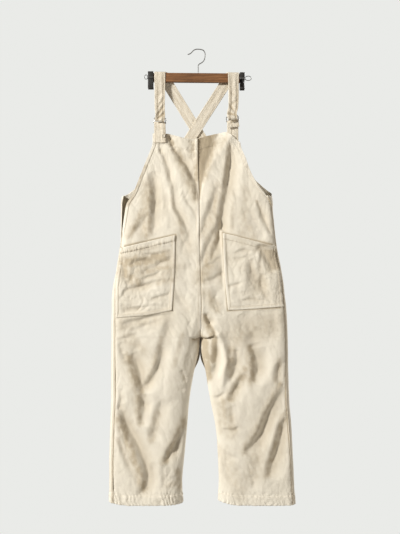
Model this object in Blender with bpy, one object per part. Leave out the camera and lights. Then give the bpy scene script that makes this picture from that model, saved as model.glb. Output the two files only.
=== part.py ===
"""Corduroy bib overtrousers hung by their straps over a small wooden clip hanger.

Metres, +Z up, the front faces -Y, X grows to the right as seen from the front.
The origin is the inside top of the hanger's hook, where it hangs.
Left and right are as seen from the front. Every cloth piece is a thin closed wall.
"""

import math
from collections import namedtuple

import bmesh
import bpy
import numpy as np

# Cloth and seams
CLOTH = 0.0018
HEM_CLOTH = 0.0028
HEM_HEIGHT = 0.028
SEAM_GAP = 0.0003
SEAM_SET_BACK = 0.00024
STRAP_CLOTH = 0.0024
TAB_CLOTH = 0.0022
LAYER = CLOTH / 2 + SEAM_GAP

# Heights of the garment
BIB_TOP = -0.2560
SIDE_TOP = -0.4557
HOLLOW_TOP = -0.8000
CROTCH = -0.8880
HEM = -1.3930

# Share of the half width where the front starts to turn to the side fold
SIDE_TURN = 0.72
# Share of the half width that a leg's inner side takes to turn
INNER_TURN = 0.30

# Panel grids
FRONT_COLUMNS = 18
BACK_COLUMNS = 12
POCKET_COLUMNS = 9
POCKET_ROWS = 8
POCKET_INSET = 0.012
POCKET_EASE = 0.0009
ROW_STEP = 0.029
CROTCH_STEP = 0.015

# Hanger
BAR_LENGTH = (-0.1436, 0.1226)
BAR_THICK = 0.012
BAR_TALL = 0.029
BAR_TOP = -0.0725
BAR_ROUND = 0.003
BAR_TILT = math.radians(0.5)
HOOK_WIRE = 0.0015
LOOP_WIRE = 0.0010
LOOP_EASE = 0.0005

# Straps, tabs, rings and button
STRAP_WIDTH = 0.033
RING_WIRE = 0.0014
RING_WIDTH = 0.0400
RING_TALL = 0.0185
RING_Y = -0.0120
BUTTON_RADIUS = 0.0055
BUTTON_THICK = 0.0024

# One row per height: side fold, its seam's inset and side opening, inner edge, depths
Row = namedtuple(
    "Row",
    "z left seam_left open_left in_left in_right seam_right right front back",
)
ROWS = [
    Row(-0.2560, -0.2050, 0.0600, 0.0000, -0.0081, -0.0081, 0.0600, 0.1828, 0.0130, 0.0100),
    Row(-0.2929, -0.2045, 0.0600, 0.0000, -0.0077, -0.0077, 0.0600, 0.1890, 0.0150, 0.0105),
    Row(-0.3255, -0.2169, 0.0600, 0.0000, -0.0070, -0.0070, 0.0600, 0.1965, 0.0180, 0.0110),
    Row(-0.3565, -0.2260, 0.0570, 0.0000, -0.0062, -0.0062, 0.0570, 0.2027, 0.0210, 0.0115),
    Row(-0.3875, -0.2317, 0.0510, 0.0000, -0.0053, -0.0053, 0.0500, 0.2078, 0.0245, 0.0120),
    Row(-0.4185, -0.2355, 0.0430, 0.0000, -0.0044, -0.0044, 0.0370, 0.2118, 0.0280, 0.0130),
    Row(-0.4371, -0.2373, 0.0380, 0.0300, -0.0038, -0.0038, 0.0280, 0.2165, 0.0300, 0.0135),
    Row(-0.4557, -0.2387, 0.0332, 0.0290, -0.0034, -0.0034, 0.0165, 0.2217, 0.0320, 0.0140),
    Row(-0.4743, -0.2418, 0.0174, 0.0145, -0.0032, -0.0032, 0.0077, 0.2229, 0.0335, 0.0155),
    Row(-0.5022, -0.2421, 0.0134, 0.0105, -0.0028, -0.0028, 0.0059, 0.2248, 0.0350, 0.0175),
    Row(-0.5425, -0.2427, 0.0083, 0.0055, -0.0024, -0.0024, 0.0044, 0.2283, 0.0365, 0.0200),
    Row(-0.5890, -0.2433, 0.0042, 0.0000, -0.0018, -0.0018, 0.0048, 0.2337, 0.0380, 0.0220),
    Row(-0.6355, -0.2496, 0.0062, 0.0000, -0.0008, -0.0008, 0.0054, 0.2404, 0.0395, 0.0240),
    Row(-0.6820, -0.2573, 0.0081, 0.0000, 0.0008, 0.0008, 0.0067, 0.2504, 0.0400, 0.0255),
    Row(-0.7285, -0.2669, 0.0109, 0.0000, 0.0023, 0.0023, 0.0081, 0.2579, 0.0400, 0.0265),
    Row(-0.7750, -0.2709, 0.0130, 0.0000, 0.0036, 0.0036, 0.0095, 0.2636, 0.0395, 0.0275),
    Row(-0.8432, -0.2728, 0.0138, 0.0000, 0.0027, 0.0027, 0.0097, 0.2687, 0.0380, 0.0280),
    Row(-0.8880, -0.2728, 0.0139, 0.0000, 0.0016, 0.0022, 0.0095, 0.2701, 0.0370, 0.0280),
    Row(-0.9362, -0.2728, 0.0140, 0.0000, -0.0023, 0.0025, 0.0093, 0.2711, 0.0365, 0.0280),
    Row(-0.9920, -0.2728, 0.0141, 0.0000, -0.0172, 0.0165, 0.0101, 0.2721, 0.0360, 0.0280),
    Row(-1.0478, -0.2728, 0.0142, 0.0000, -0.0273, 0.0245, 0.0112, 0.2731, 0.0355, 0.0275),
    Row(-1.0974, -0.2734, 0.0143, 0.0000, -0.0341, 0.0338, 0.0121, 0.2752, 0.0350, 0.0275),
    Row(-1.1501, -0.2761, 0.0143, 0.0000, -0.0378, 0.0449, 0.0121, 0.2809, 0.0345, 0.0270),
    Row(-1.1997, -0.2782, 0.0143, 0.0000, -0.0422, 0.0515, 0.0115, 0.2837, 0.0340, 0.0270),
    Row(-1.2648, -0.2803, 0.0143, 0.0000, -0.0484, 0.0548, 0.0109, 0.2866, 0.0340, 0.0270),
    Row(-1.3268, -0.2798, 0.0143, 0.0000, -0.0549, 0.0573, 0.0104, 0.2898, 0.0340, 0.0270),
    Row(-1.3930, -0.2790, 0.0143, 0.0000, -0.0528, 0.0562, 0.0099, 0.2933, 0.0340, 0.0270),
]

# The bib's top edge and the back's top edge: x and z
Edge = namedtuple("Edge", "x z")
BIB_EDGE = [
    Edge(-0.145, -0.2620),
    Edge(-0.095, -0.2630),
    Edge(-0.056, -0.2745),
    Edge(-0.033, -0.2785),
    Edge(-0.017, -0.2792),
    Edge(0.026, -0.2670),
    Edge(0.076, -0.2552),
    Edge(0.096, -0.2640),
    Edge(0.110, -0.2780),
    Edge(0.123, -0.2880),
]
BACK_EDGE = [
    Edge(0.000, -0.3640),
    Edge(0.105, -0.3665),
    Edge(0.135, -0.3770),
    Edge(0.165, -0.3960),
    Edge(0.195, -0.4230),
    Edge(0.222, -0.4450),
    Edge(0.245, -0.4557),
]
# How much lower the hem's middle hangs than its sides
HEM_SAG = 0.007

# Largest folds of the front: points along each, half width and depth, a ridge's is negative
Fold = namedtuple("Fold", "name points width depth")
FRONT_FOLDS = [
    Fold("side sag", [(-0.165, -0.430), (-0.156, -0.505), (-0.162, -0.585)], 0.018, 0.0070),
    Fold("bib drape", [(-0.111, -0.320), (-0.090, -0.423), (-0.060, -0.560)], 0.013, 0.0045),
    Fold("bib valley", [(-0.076, -0.312), (-0.041, -0.368), (-0.008, -0.440)], 0.012, 0.0065),
    Fold("bib hollow", [(0.037, -0.300), (0.018, -0.331), (0.004, -0.410)], 0.018, 0.0060),
    Fold("bib ridge", [(0.085, -0.285), (0.049, -0.383), (0.020, -0.480)], 0.012, -0.0040),
    Fold("long valley", [(0.092, -0.300), (0.076, -0.410), (0.071, -0.505)], 0.013, 0.0080),
    Fold("valley foot", [(0.071, -0.500), (0.060, -0.575), (0.020, -0.670)], 0.014, 0.0065),
    Fold("arm drape", [(0.115, -0.345), (0.130, -0.440), (0.135, -0.545)], 0.016, 0.0045),
    Fold("crotch left", [(-0.012, -0.815), (-0.040, -0.880), (-0.055, -0.960)], 0.014, -0.0050),
    Fold("crotch right", [(0.016, -0.815), (0.058, -0.880), (0.062, -1.040)], 0.015, -0.0070),
    Fold("left thigh", [(-0.100, -0.850), (-0.126, -0.960), (-0.165, -1.045)], 0.014, 0.0060),
    Fold("left knee", [(-0.212, -0.950), (-0.197, -1.020), (-0.207, -1.110)], 0.014, 0.0060),
    Fold("left shin", [(-0.238, -1.145), (-0.205, -1.231), (-0.172, -1.340)], 0.016, 0.0090),
    Fold("left calf", [(-0.050, -1.145), (-0.080, -1.205), (-0.108, -1.270)], 0.013, 0.0070),
    Fold("right thigh", [(0.100, -0.920), (0.089, -1.000)], 0.013, 0.0060),
    Fold("right lens", [(0.154, -0.910), (0.161, -1.030)], 0.015, 0.0070),
    Fold("right knee", [(0.242, -1.042), (0.200, -1.110), (0.145, -1.235)], 0.016, 0.0080),
    Fold("right shin", [(0.246, -1.140), (0.220, -1.215), (0.208, -1.325)], 0.017, 0.0090),
]
BACK_FOLDS = [
    Fold("seat left", [(-0.060, -0.640), (-0.085, -0.760), (-0.060, -0.860)], 0.022, 0.0060),
    Fold("seat right", [(0.070, -0.620), (0.095, -0.740), (0.065, -0.860)], 0.022, 0.0060),
    Fold("back left", [(-0.150, -0.460), (-0.135, -0.600)], 0.020, 0.0040),
    Fold("back right", [(0.140, -0.470), (0.150, -0.610)], 0.020, 0.0040),
    Fold("rear knee left", [(-0.210, -0.990), (-0.150, -1.060)], 0.020, 0.0050),
    Fold("rear knee right", [(0.215, -1.010), (0.150, -1.090)], 0.020, 0.0050),
    Fold("rear shin left", [(-0.100, -1.140), (-0.150, -1.300)], 0.022, 0.0060),
    Fold("rear shin right", [(0.110, -1.150), (0.170, -1.290)], 0.022, 0.0060),
]

# Patch pockets: top and bottom edges from the middle outwards, and how far the mouth stands off
Pocket = namedtuple("Pocket", "side top bottom mouth")
POCKETS = {
    "pocket_left": Pocket(
        -1,
        [(-0.0760, -0.5760), (-0.1180, -0.5862), (-0.1590, -0.5960), (-0.2385, -0.6150)],
        [(-0.0860, -0.8040), (-0.1280, -0.8130), (-0.1700, -0.8200), (-0.2550, -0.8270)],
        0.0024,
    ),
    "pocket_right": Pocket(
        1,
        [(0.0700, -0.5700), (0.1050, -0.5780), (0.1370, -0.5865), (0.2290, -0.6110)],
        [(0.0860, -0.8030), (0.1260, -0.8020), (0.1680, -0.7990), (0.2510, -0.7930)],
        0.0026,
    ),
}

# Straps: front line, line behind the bar, slope and depths behind
Strap = namedtuple("Strap", "front behind slope cross_y end_y ring_x ring_z ring_turn")
STRAPS = {
    "left": Strap(-0.1240, -0.1165, 0.6176, 0.0092, 0.0112, -0.1235, -0.2222, -4.0),
    "right": Strap(0.1036, 0.0955, -0.6400, 0.0052, 0.0112, 0.1000, -0.2165, 8.0),
}
STRAP_END = -0.3860
STRAP_RETURN = -0.1850

HOOK_LINE = [
    (-0.0053, -0.0720),
    (-0.0053, -0.0465),
    (0.0030, -0.0405),
    (0.0115, -0.0335),
    (0.0155, -0.0230),
    (0.0155, -0.0100),
    (0.0110, -0.0018),
    (0.0043, 0.0013),
    (-0.0040, 0.0024),
    (-0.0124, 0.0022),
    (-0.0195, -0.0008),
    (-0.0240, -0.0060),
    (-0.0300, -0.0115),
    (-0.0372, -0.0140),
]


def clear_scene():
    """Remove what the new scene holds."""
    for item in list(bpy.data.objects):
        bpy.data.objects.remove(item, do_unlink=True)


def finish(name, colour, roughness, metallic=0.0):
    """A plain material."""
    made = bpy.data.materials.new(name)
    made.use_nodes = True
    shader = made.node_tree.nodes["Principled BSDF"]
    shader.inputs["Base Color"].default_value = (*colour, 1.0)
    shader.inputs["Roughness"].default_value = roughness
    shader.inputs["Metallic"].default_value = metallic
    return made


def add_solid(name, points, faces, material, smooth=True):
    """A closed mesh with its faces turned outwards."""
    mesh = bpy.data.meshes.new(name)
    mesh.from_pydata([tuple(float(v) for v in p) for p in points], [], faces)
    work = bmesh.new()
    work.from_mesh(mesh)
    bmesh.ops.recalc_face_normals(work, faces=work.faces)
    work.to_mesh(mesh)
    work.free()
    for polygon in mesh.polygons:
        polygon.use_smooth = smooth
    mesh.materials.append(material)
    item = bpy.data.objects.new(name, mesh)
    bpy.context.collection.objects.link(item)
    return item


def smooth_step(low, high, value):
    """0 below low, 1 above high, smooth between."""
    t = np.clip((value - low) / (high - low), 0.0, 1.0)
    return t * t * (3.0 - 2.0 * t)


def row_value(name, z):
    """A column of the row table at heights z."""
    heights = [row.z for row in ROWS][::-1]
    values = [getattr(row, name) for row in ROWS][::-1]
    return np.interp(z, heights, values)


def edge_height(edge, x):
    """The height of a top edge at x."""
    return np.interp(x, [point.x for point in edge], [point.z for point in edge])


def fold_height(folds, x, z):
    """Sum of the folds' depths at x and z, positive into the garment."""
    total = np.zeros(np.broadcast(x, z).shape)
    for fold in folds:
        best = np.full(total.shape, 1e9)
        along = np.zeros(total.shape)
        count = len(fold.points) - 1
        for index in range(count):
            x0, z0 = fold.points[index]
            x1, z1 = fold.points[index + 1]
            dx, dz = x1 - x0, z1 - z0
            share = np.clip(((x - x0) * dx + (z - z0) * dz) / (dx * dx + dz * dz), 0.0, 1.0)
            away = np.hypot(x - x0 - share * dx, z - z0 - share * dz)
            nearer = away < best
            along = np.where(nearer, (index + share) / count, along)
            best = np.minimum(best, away)
        taper = np.clip(4.0 * along * (1.0 - along), 0.0, 1.0) ** 0.5
        total = total + fold.depth * (0.15 + 0.85 * taper) * np.exp(-((best / fold.width) ** 2))
    return total


def legness(z):
    """0 in the body, 1 in the legs."""
    return smooth_step(-HOLLOW_TOP - 0.06, -CROTCH + 0.03, -z)


def centre_share(z):
    """How far the centre seams still stand from the middle: 1 in the body, 0 at the crotch."""
    drop = np.clip((HOLLOW_TOP - z) / (HOLLOW_TOP - CROTCH), 0.0, 1.0)
    return np.sqrt(1.0 - drop * drop)


class Half:
    """One half of the garment: its ring from the front's inner edge round the side to the back's."""

    def __init__(self, side):
        self.side = side
        self.word = "left" if side < 0 else "right"

    def inner(self, z):
        """Distance of the inner edge from the middle, outwards."""
        edge = self.side * row_value("in_" + self.word, z)
        return edge + (CLOTH / 2 + 0.0002) * legness(z)

    def outer(self, z):
        """Distance of the side fold from the middle."""
        return self.side * row_value(self.word, z)

    def seam_turn(self, z, gap):
        """Where on the ring the side seam lies: 0 inner front, 1 side fold, 2 inner back."""
        inset = row_value("seam_" + self.word, z)
        if gap and self.side < 0:
            inset = inset - row_value("open_left", z)
        share = 1.0 - inset / (self.outer(z) - self.inner(z))
        return 2.0 / math.pi * np.arcsin(share ** (1.0 / (1.0 + legness(z))))

    def across(self, turn, z):
        """Share of the half width at a turn of the ring."""
        return np.sin(math.pi / 2 * turn) ** (1.0 + legness(z))

    def profile(self, share, z):
        """Share of the full depth at a share of the half width."""
        out = np.clip((share - SIDE_TURN) / (1.0 - SIDE_TURN), 0.0, 1.0)
        inn = np.clip(1.0 - share / INNER_TURN, 0.0, 1.0)
        centre = centre_share(z)
        return np.sqrt(1.0 - out * out) * (centre + (1.0 - centre) * np.sqrt(1.0 - inn * inn))

    def front_y(self, share, x, z):
        """Depth of the front at a share of the half width."""
        centre = centre_share(z)
        ease = smooth_step(0.0, 0.10, 1.0 - share)
        ease = ease * (centre + (1.0 - centre) * smooth_step(0.0, 0.12, share))
        return -row_value("front", z) * self.profile(share, z) + ease * fold_height(FRONT_FOLDS, x, z)

    def back_y(self, share, x, z):
        """Depth of the back at a share of the half width."""
        centre = centre_share(z)
        ease = smooth_step(0.0, 0.10, 1.0 - share)
        ease = ease * (centre + (1.0 - centre) * smooth_step(0.0, 0.12, share))
        return row_value("back", z) * self.profile(share, z) - ease * fold_height(BACK_FOLDS, x, z)

    def front_point(self, x, z):
        """The front's surface over x and z."""
        share = (self.side * x - self.inner(z)) / (self.outer(z) - self.inner(z))
        return np.stack([x, self.front_y(np.clip(share, 0, 1), x, z), z], axis=-1)


def bib_y(half, x, z):
    """Depth of the front near the bib's top, whose rows follow the top edge."""
    row = np.array(z, float)
    for _ in range(5):
        lift = (edge_height(BIB_EDGE, x) - BIB_TOP) * smooth_step(-0.345, BIB_TOP, row)
        row = z - lift
    return float(half.front_point(np.array(x, float), row)[1])


def hem_drop(share, z):
    """How far a row near the hem sags between its ends."""
    near = smooth_step(0.0, 0.12, HEM + 0.12 - z)
    return -HEM_SAG * near * np.sin(math.pi * np.clip(share, 0.0, 1.0)) ** 1.2


def row_levels(top):
    """Row heights from top to hem, closer at the crotch."""
    stops = [top, HOLLOW_TOP + 0.02, CROTCH - 0.03, HEM + HEM_HEIGHT, HEM]
    steps = [ROW_STEP, CROTCH_STEP, ROW_STEP, HEM_HEIGHT / 2]
    levels = [top]
    for start, stop, step in zip(stops, stops[1:], steps):
        count = max(1, round((start - stop) / step))
        levels += [start + (stop - start) * (k + 1) / count for k in range(count)]
    return np.array(levels)


def body_levels():
    """Rows that front and back share below the side's top."""
    return row_levels(SIDE_TOP)


def front_grid(half, columns=FRONT_COLUMNS):
    """Middle surface of a front panel: rows from the bib's top to the hem."""
    count = round((BIB_TOP - SIDE_TOP) / ROW_STEP)
    bib = np.linspace(BIB_TOP, SIDE_TOP, count + 1)[:-1]
    z = np.concatenate([bib, body_levels()])[:, None]
    turn = half.seam_turn(z, False) * np.linspace(0.0, 1.0, columns + 1)[None, :]
    share = half.across(turn, z)
    x = half.side * (half.inner(z) + (half.outer(z) - half.inner(z)) * share)
    lift = (edge_height(BIB_EDGE, x) - BIB_TOP) * smooth_step(-0.345, BIB_TOP, z)
    y = half.front_y(share, x, z)
    return np.stack([x, y, z + lift + hem_drop(share, z)], axis=-1)


def back_grid(half, columns=BACK_COLUMNS):
    """Middle surface of a back panel, from the side seam on the front round to the centre back."""
    z = body_levels()[:, None]
    start = half.seam_turn(z, True)
    turn = start + (2.0 - start) * (np.linspace(0.0, 1.0, columns + 1)[None, :] ** 1.15)
    share = half.across(turn, z)
    x = half.side * (half.inner(z) + (half.outer(z) - half.inner(z)) * share)
    y = np.where(turn < 1.0, half.front_y(share, x, z), half.back_y(share, x, z))
    rise = smooth_step(-0.72, SIDE_TOP, z)
    lift = (edge_height(BACK_EDGE, np.abs(x)) - SIDE_TOP) * rise * (turn > 1.0)
    return np.stack([x, y, z + lift + hem_drop(share, z) * 0.6], axis=-1)


def inner_direction(column, side, into):
    """Directions from the inner seam into a panel: sideways in the body, in depth in a leg."""
    in_leg = (centre_share(column[:, 2]) < 0.02)[:, None]
    return np.where(in_leg, np.array([0.0, into, 0.0]), np.array([side, 0.0, 0.0]))


def grid_normals(grid, outside, first=None, last=None):
    """Unit normals of a grid on the given side; edges may be given their own directions."""
    down = np.gradient(grid, axis=0)
    over = np.gradient(grid, axis=1)
    if first is not None:
        over[:, 0] = first
    if last is not None:
        over[:, -1] = -last
    normal = np.cross(over, down)
    normal /= np.linalg.norm(normal, axis=-1, keepdims=True)
    if np.sum(normal * outside) < 0:
        normal = -normal
    return normal


def wall(name, grid, normal, thick, material):
    """A closed wall of a given thickness about a grid."""
    rows, columns = grid.shape[:2]
    outer = grid + normal * (thick / 2)
    inner = grid - normal * (thick / 2)
    points = np.concatenate([outer.reshape(-1, 3), inner.reshape(-1, 3)])
    size = rows * columns

    def at(row, column, layer):
        return layer * size + row * columns + column

    faces = []
    for row in range(rows - 1):
        for column in range(columns - 1):
            ring = [(row, column), (row + 1, column), (row + 1, column + 1), (row, column + 1)]
            faces.append([at(a, b, 0) for a, b in ring])
            faces.append([at(a, b, 1) for a, b in ring][::-1])
    rim = [(0, c) for c in range(columns)]
    rim += [(r, columns - 1) for r in range(1, rows)]
    rim += [(rows - 1, c) for c in range(columns - 2, -1, -1)]
    rim += [(r, 0) for r in range(rows - 2, 0, -1)]
    for here, there in zip(rim, rim[1:] + rim[:1]):
        faces.append([at(*here, 0), at(*there, 0), at(*there, 1), at(*here, 1)])
    return add_solid(name, points, faces, material)


def unit(step):
    """Steps at length one."""
    return step / np.linalg.norm(step, axis=-1, keepdims=True)


def panel(name, grid, outside, first, last, material):
    """A panel's wall, drawn back at its seams and thicker in the turned-up hem."""
    made = grid.copy()
    from_first = first if first is not None else unit(grid[:, 1] - grid[:, 0])
    from_last = last if last is not None else unit(grid[:, -2] - grid[:, -1])
    made[:, 0] += SEAM_SET_BACK * from_first
    made[:, -1] += SEAM_SET_BACK * from_last
    near = np.clip((made[..., 2:3] - HEM) / HEM_HEIGHT, 0.0, 1.0)
    thick = np.where(near < 0.9, HEM_CLOTH, CLOTH)
    return wall(name, made, grid_normals(grid, outside, first, last), thick, material)


def build_pocket(name, pocket, half, material):
    """A patch pocket: the front's points moved out, its mouth standing off a little."""
    across = np.linspace(0.0, 1.0, POCKET_COLUMNS + 1)[None, :]
    down = np.linspace(0.0, 1.0, POCKET_ROWS + 1)[:, None]
    edges = [np.array(sorted(edge)) for edge in (pocket.top, pocket.bottom)]
    (x0, z0), (x1, z1) = pocket.top[0], pocket.bottom[0]
    z = z0 + (z1 - z0) * down + 0.0 * across
    for _ in range(4):
        width = half.outer(z) - half.inner(z)
        start = (half.side * (x0 + (x1 - x0) * down) - half.inner(z)) / width
        start = 2.0 / math.pi * np.arcsin(start ** (1.0 / (1.0 + legness(z))))
        turn = start + (half.seam_turn(z, False) - POCKET_INSET - start) * across
        x = half.side * (half.inner(z) + width * half.across(turn, z))
        high, low = [np.interp(x, edge[:, 0], edge[:, 1]) for edge in edges]
        z = high + (low - high) * down
    base = half.front_point(x, z)
    normal = grid_normals(base, np.array([0.0, -1.0, 0.0]))
    swell = np.sin(math.pi * across) * (1.0 - down) ** 2
    belly = np.sin(math.pi * across) * np.sin(math.pi * down)
    off = CLOTH + SEAM_GAP + POCKET_EASE + pocket.mouth * swell + 0.0016 * belly
    wall(name, base + normal * off[..., None], normal, CLOTH, material)


def spline(points, count):
    """A smooth line through points, count steps a span."""
    line = np.array(points, float)
    ends = np.concatenate([[2 * line[0] - line[1]], line, [2 * line[-1] - line[-2]]])
    made = []
    for index in range(len(line) - 1):
        a, b, c, d = ends[index : index + 4]
        for step in range(count):
            t = step / count
            made.append(
                0.5 * (2 * b + (c - a) * t + (2 * a - 5 * b + 4 * c - d) * t * t
                       + (3 * b - 3 * c + d - a) * t ** 3)
            )
    made.append(line[-1])
    return np.array(made)


def sweep(name, path, sides, normals, outline, material, closed=False):
    """A section swept along a path with given side and normal directions."""
    sections = [
        [point + side * a + normal * b for a, b in outline]
        for point, side, normal in zip(path, sides, normals)
    ]
    points = [corner for section in sections for corner in section]
    count = len(outline)
    total = len(sections)
    faces = []
    for index in range(total if closed else total - 1):
        after = (index + 1) % total
        for k in range(count):
            m = (k + 1) % count
            faces.append([index * count + k, index * count + m, after * count + m, after * count + k])
    if not closed:
        faces.append(list(range(count))[::-1])
        faces.append([(total - 1) * count + k for k in range(count)])
    return add_solid(name, points, faces, material)


def tangents(path, closed=False):
    """Unit directions along a path."""
    if closed:
        step = np.roll(path, -1, axis=0) - np.roll(path, 1, axis=0)
    else:
        step = np.gradient(path, axis=0)
    return step / np.linalg.norm(step, axis=1, keepdims=True)


def round_outline(radius, count):
    """A round section."""
    turns = [2 * math.pi * k / count for k in range(count)]
    return [(radius * math.cos(t), radius * math.sin(t)) for t in turns]


def ribbon_outline(width, thick):
    """A flat section with eased edges."""
    a, b, e = width / 2, thick / 2, thick * 0.3
    return [(a, -b + e), (a, b - e), (a - e, b), (-a + e, b), (-a, b - e), (-a, -b + e), (-a + e, -b), (a - e, -b)]


def build_ribbon(name, path, side_turns, width, thick, material):
    """A flat strap along a path; a turn leans its width out of the level, in degrees."""
    along = tangents(path)
    turns = np.radians(np.array(side_turns))
    sides = np.stack([np.cos(turns), 0 * turns, np.sin(turns)], axis=1)
    square = sides - along * np.sum(sides * along, axis=1, keepdims=True)
    sides = unit(np.where(np.abs(turns[:, None]) > math.radians(10.0), square, sides))
    normals = unit(np.cross(along, sides))
    return sweep(name, path, sides, normals, ribbon_outline(width, thick), material)


def build_wire(name, line, radius, count, material, closed=False, normal=(0.0, 1.0, 0.0)):
    """A round wire along a line that lies in a plane."""
    along = tangents(line, closed)
    up = np.tile(np.array(normal), (len(line), 1))
    sides = np.cross(up, along)
    sides /= np.linalg.norm(sides, axis=1, keepdims=True)
    return sweep(name, line, sides, np.cross(along, sides), round_outline(radius, count), material, closed)


def bar_top(x):
    """Height of the tilted bar's top at x."""
    return BAR_TOP - math.tan(BAR_TILT) * x


def ring_point(strap, level, y, height):
    """A point beside one of a ring's bars: level 1 the upper, -1 the lower."""
    turn = math.radians(strap.ring_turn)
    up = level * (RING_TALL / 2 - RING_WIRE) + height
    return (strap.ring_x - math.sin(turn) * up, RING_Y + y, strap.ring_z + math.cos(turn) * up)


def build_strap(word, strap, material):
    """A shoulder strap: looped on its ring, over the bar and down behind to the back."""
    loop = RING_WIRE + SEAM_GAP + STRAP_CLOTH / 2 + LOOP_EASE
    bend = BAR_ROUND + SEAM_GAP + STRAP_CLOTH / 2 + LOOP_EASE
    lean = math.degrees(math.atan(strap.slope))
    rows = [(strap.ring_x, RING_Y + loop, STRAP_RETURN, 0.0)]
    rows.append((*ring_point(strap, 1, loop, 0.009), strap.ring_turn))
    for turn in (0, 36, 72, 108, 144, 180):
        angle = math.radians(turn)
        rows.append((*ring_point(strap, 1, loop * math.cos(angle), -loop * math.sin(angle)), strap.ring_turn))
    rows.append((*ring_point(strap, 1, -loop, 0.009), strap.ring_turn))
    half_thick = BAR_THICK / 2 - BAR_ROUND
    tilt = -math.degrees(BAR_TILT)
    top = bar_top(strap.front) - BAR_ROUND
    x = (strap.ring_x + strap.front) / 2
    rows.append((x, RING_Y - loop, STRAP_RETURN, 0.0))
    rows.append((strap.front, -half_thick - bend - 0.0035, -0.150, 0.0))
    rows.append((strap.front, -half_thick - bend - 0.0010, -0.120, 0.0))
    rows.append((strap.front, -half_thick - bend, -0.100, tilt))
    for turn in (180, 150, 120, 90, 60, 30, 0):
        angle = math.radians(turn)
        back = 1 if turn < 90 else -1
        if turn == 90:
            for sign in (-1, 1):
                share = 0.5 + sign * 0.3
                x = strap.front + (strap.behind - strap.front) * share
                rows.append((x, sign * half_thick, top + bend, tilt))
            continue
        share = 0.5 + back * (0.38 + 0.12 * abs(math.cos(angle)))
        x = strap.front + (strap.behind - strap.front) * share
        rows.append((x, back * half_thick + bend * math.cos(angle), top + bend * math.sin(angle), tilt))
    levels = [(-0.088, 0.0, 0.5), (-0.105, 0.0, 0.9), (-0.135, 0.2, 1), (-0.170, 0.6, 1), (-0.205, 1.0, 1)]
    levels += [(-0.255, 1.0, 1), (-0.300, 1.4, 1), (-0.345, 1.85, 1), (-0.3640, 2.0, 1), (STRAP_END, 2.0, 1)]
    for z, stage, share in levels:
        x = strap.behind + strap.slope * (-0.0760 - z)
        y = np.interp(stage, [0.0, 1.0, 2.0], [half_thick + bend, strap.cross_y, strap.end_y])
        rows.append((x, y, z, lean * share))
    path = np.array([row[:3] for row in rows])
    turns = [row[3] for row in rows]
    build_ribbon("strap_" + word, path, turns, STRAP_WIDTH, STRAP_CLOTH, material)


def build_ring(word, strap, material):
    """A rounded rectangular ring of wire, tilted as it hangs."""
    a = RING_WIDTH / 2 - RING_WIRE
    b = RING_TALL / 2 - RING_WIRE
    r = 0.0035
    line = []
    for cx, cz, start in ((a - r, b - r, 0), (-a + r, b - r, 90), (-a + r, -b + r, 180), (a - r, -b + r, 270)):
        for step in (0, 30, 60, 90):
            turn = math.radians(start + step)
            line.append((cx + r * math.cos(turn), 0.0, cz + r * math.sin(turn)))
    lean = math.radians(strap.ring_turn)
    flat = np.array(line)
    turned = flat.copy()
    turned[:, 0] = flat[:, 0] * math.cos(lean) - flat[:, 2] * math.sin(lean) + strap.ring_x
    turned[:, 1] = RING_Y
    turned[:, 2] = flat[:, 0] * math.sin(lean) + flat[:, 2] * math.cos(lean) + strap.ring_z
    build_wire("ring_" + word, turned, RING_WIRE, 6, material, closed=True)


def build_tab(word, strap, half, x, front_end, back_end, on_front, material, behind=0.0):
    """A bib tab folded over its ring's lower bar; it holds the bib's corner between its layers."""
    loop = RING_WIRE + SEAM_GAP + TAB_CLOTH / 2 + LOOP_EASE
    off = LAYER + TAB_CLOTH / 2 + 0.0002
    rows = []
    if on_front:
        for z in (front_end, front_end + 0.012, front_end + 0.024):
            rows.append((x, bib_y(half, x, z) - off, z, 0.0))
    else:
        rows.append((*ring_point(strap, -1, -loop, front_end), strap.ring_turn))
    for turn in (180, 144, 108, 72, 36, 0):
        angle = math.radians(turn)
        rows.append((*ring_point(strap, -1, loop * math.cos(angle), loop * math.sin(angle)), strap.ring_turn))
    for z in (back_end + 0.030, back_end + 0.015, back_end):
        rows.append((x, bib_y(half, x, z) + off + behind, z, 0.0))
    path = np.array([row[:3] for row in rows])
    turns = [row[3] for row in rows]
    build_ribbon("tab_" + word, path, turns, 0.034, TAB_CLOTH, material)


def build_button(x, z, y, material):
    """A round flat button with a sunk middle, facing the front."""
    outline = [
        (0.0, 0.0006),
        (BUTTON_RADIUS * 0.6, 0.0006),
        (BUTTON_RADIUS * 0.75, 0.0),
        (BUTTON_RADIUS * 0.92, 0.0001),
        (BUTTON_RADIUS, 0.0008),
        (BUTTON_RADIUS * 0.92, BUTTON_THICK),
        (0.0, BUTTON_THICK),
    ]
    count = 20
    points = [(x, y + outline[0][1], z)]
    for radius, depth in outline[1:-1]:
        for k in range(count):
            turn = 2 * math.pi * k / count
            points.append((x + radius * math.cos(turn), y + depth, z + radius * math.sin(turn)))
    points.append((x, y + outline[-1][1], z))
    last = len(points) - 1
    faces = []
    for k in range(count):
        m = (k + 1) % count
        faces.append([0, 1 + k, 1 + m])
        for ring in range(len(outline) - 3):
            here = 1 + ring * count
            faces.append([here + k, here + count + k, here + count + m, here + m])
        end = 1 + (len(outline) - 3) * count
        faces.append([end + k, last, end + m])
    add_solid("button_left", points, faces, material)


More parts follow.
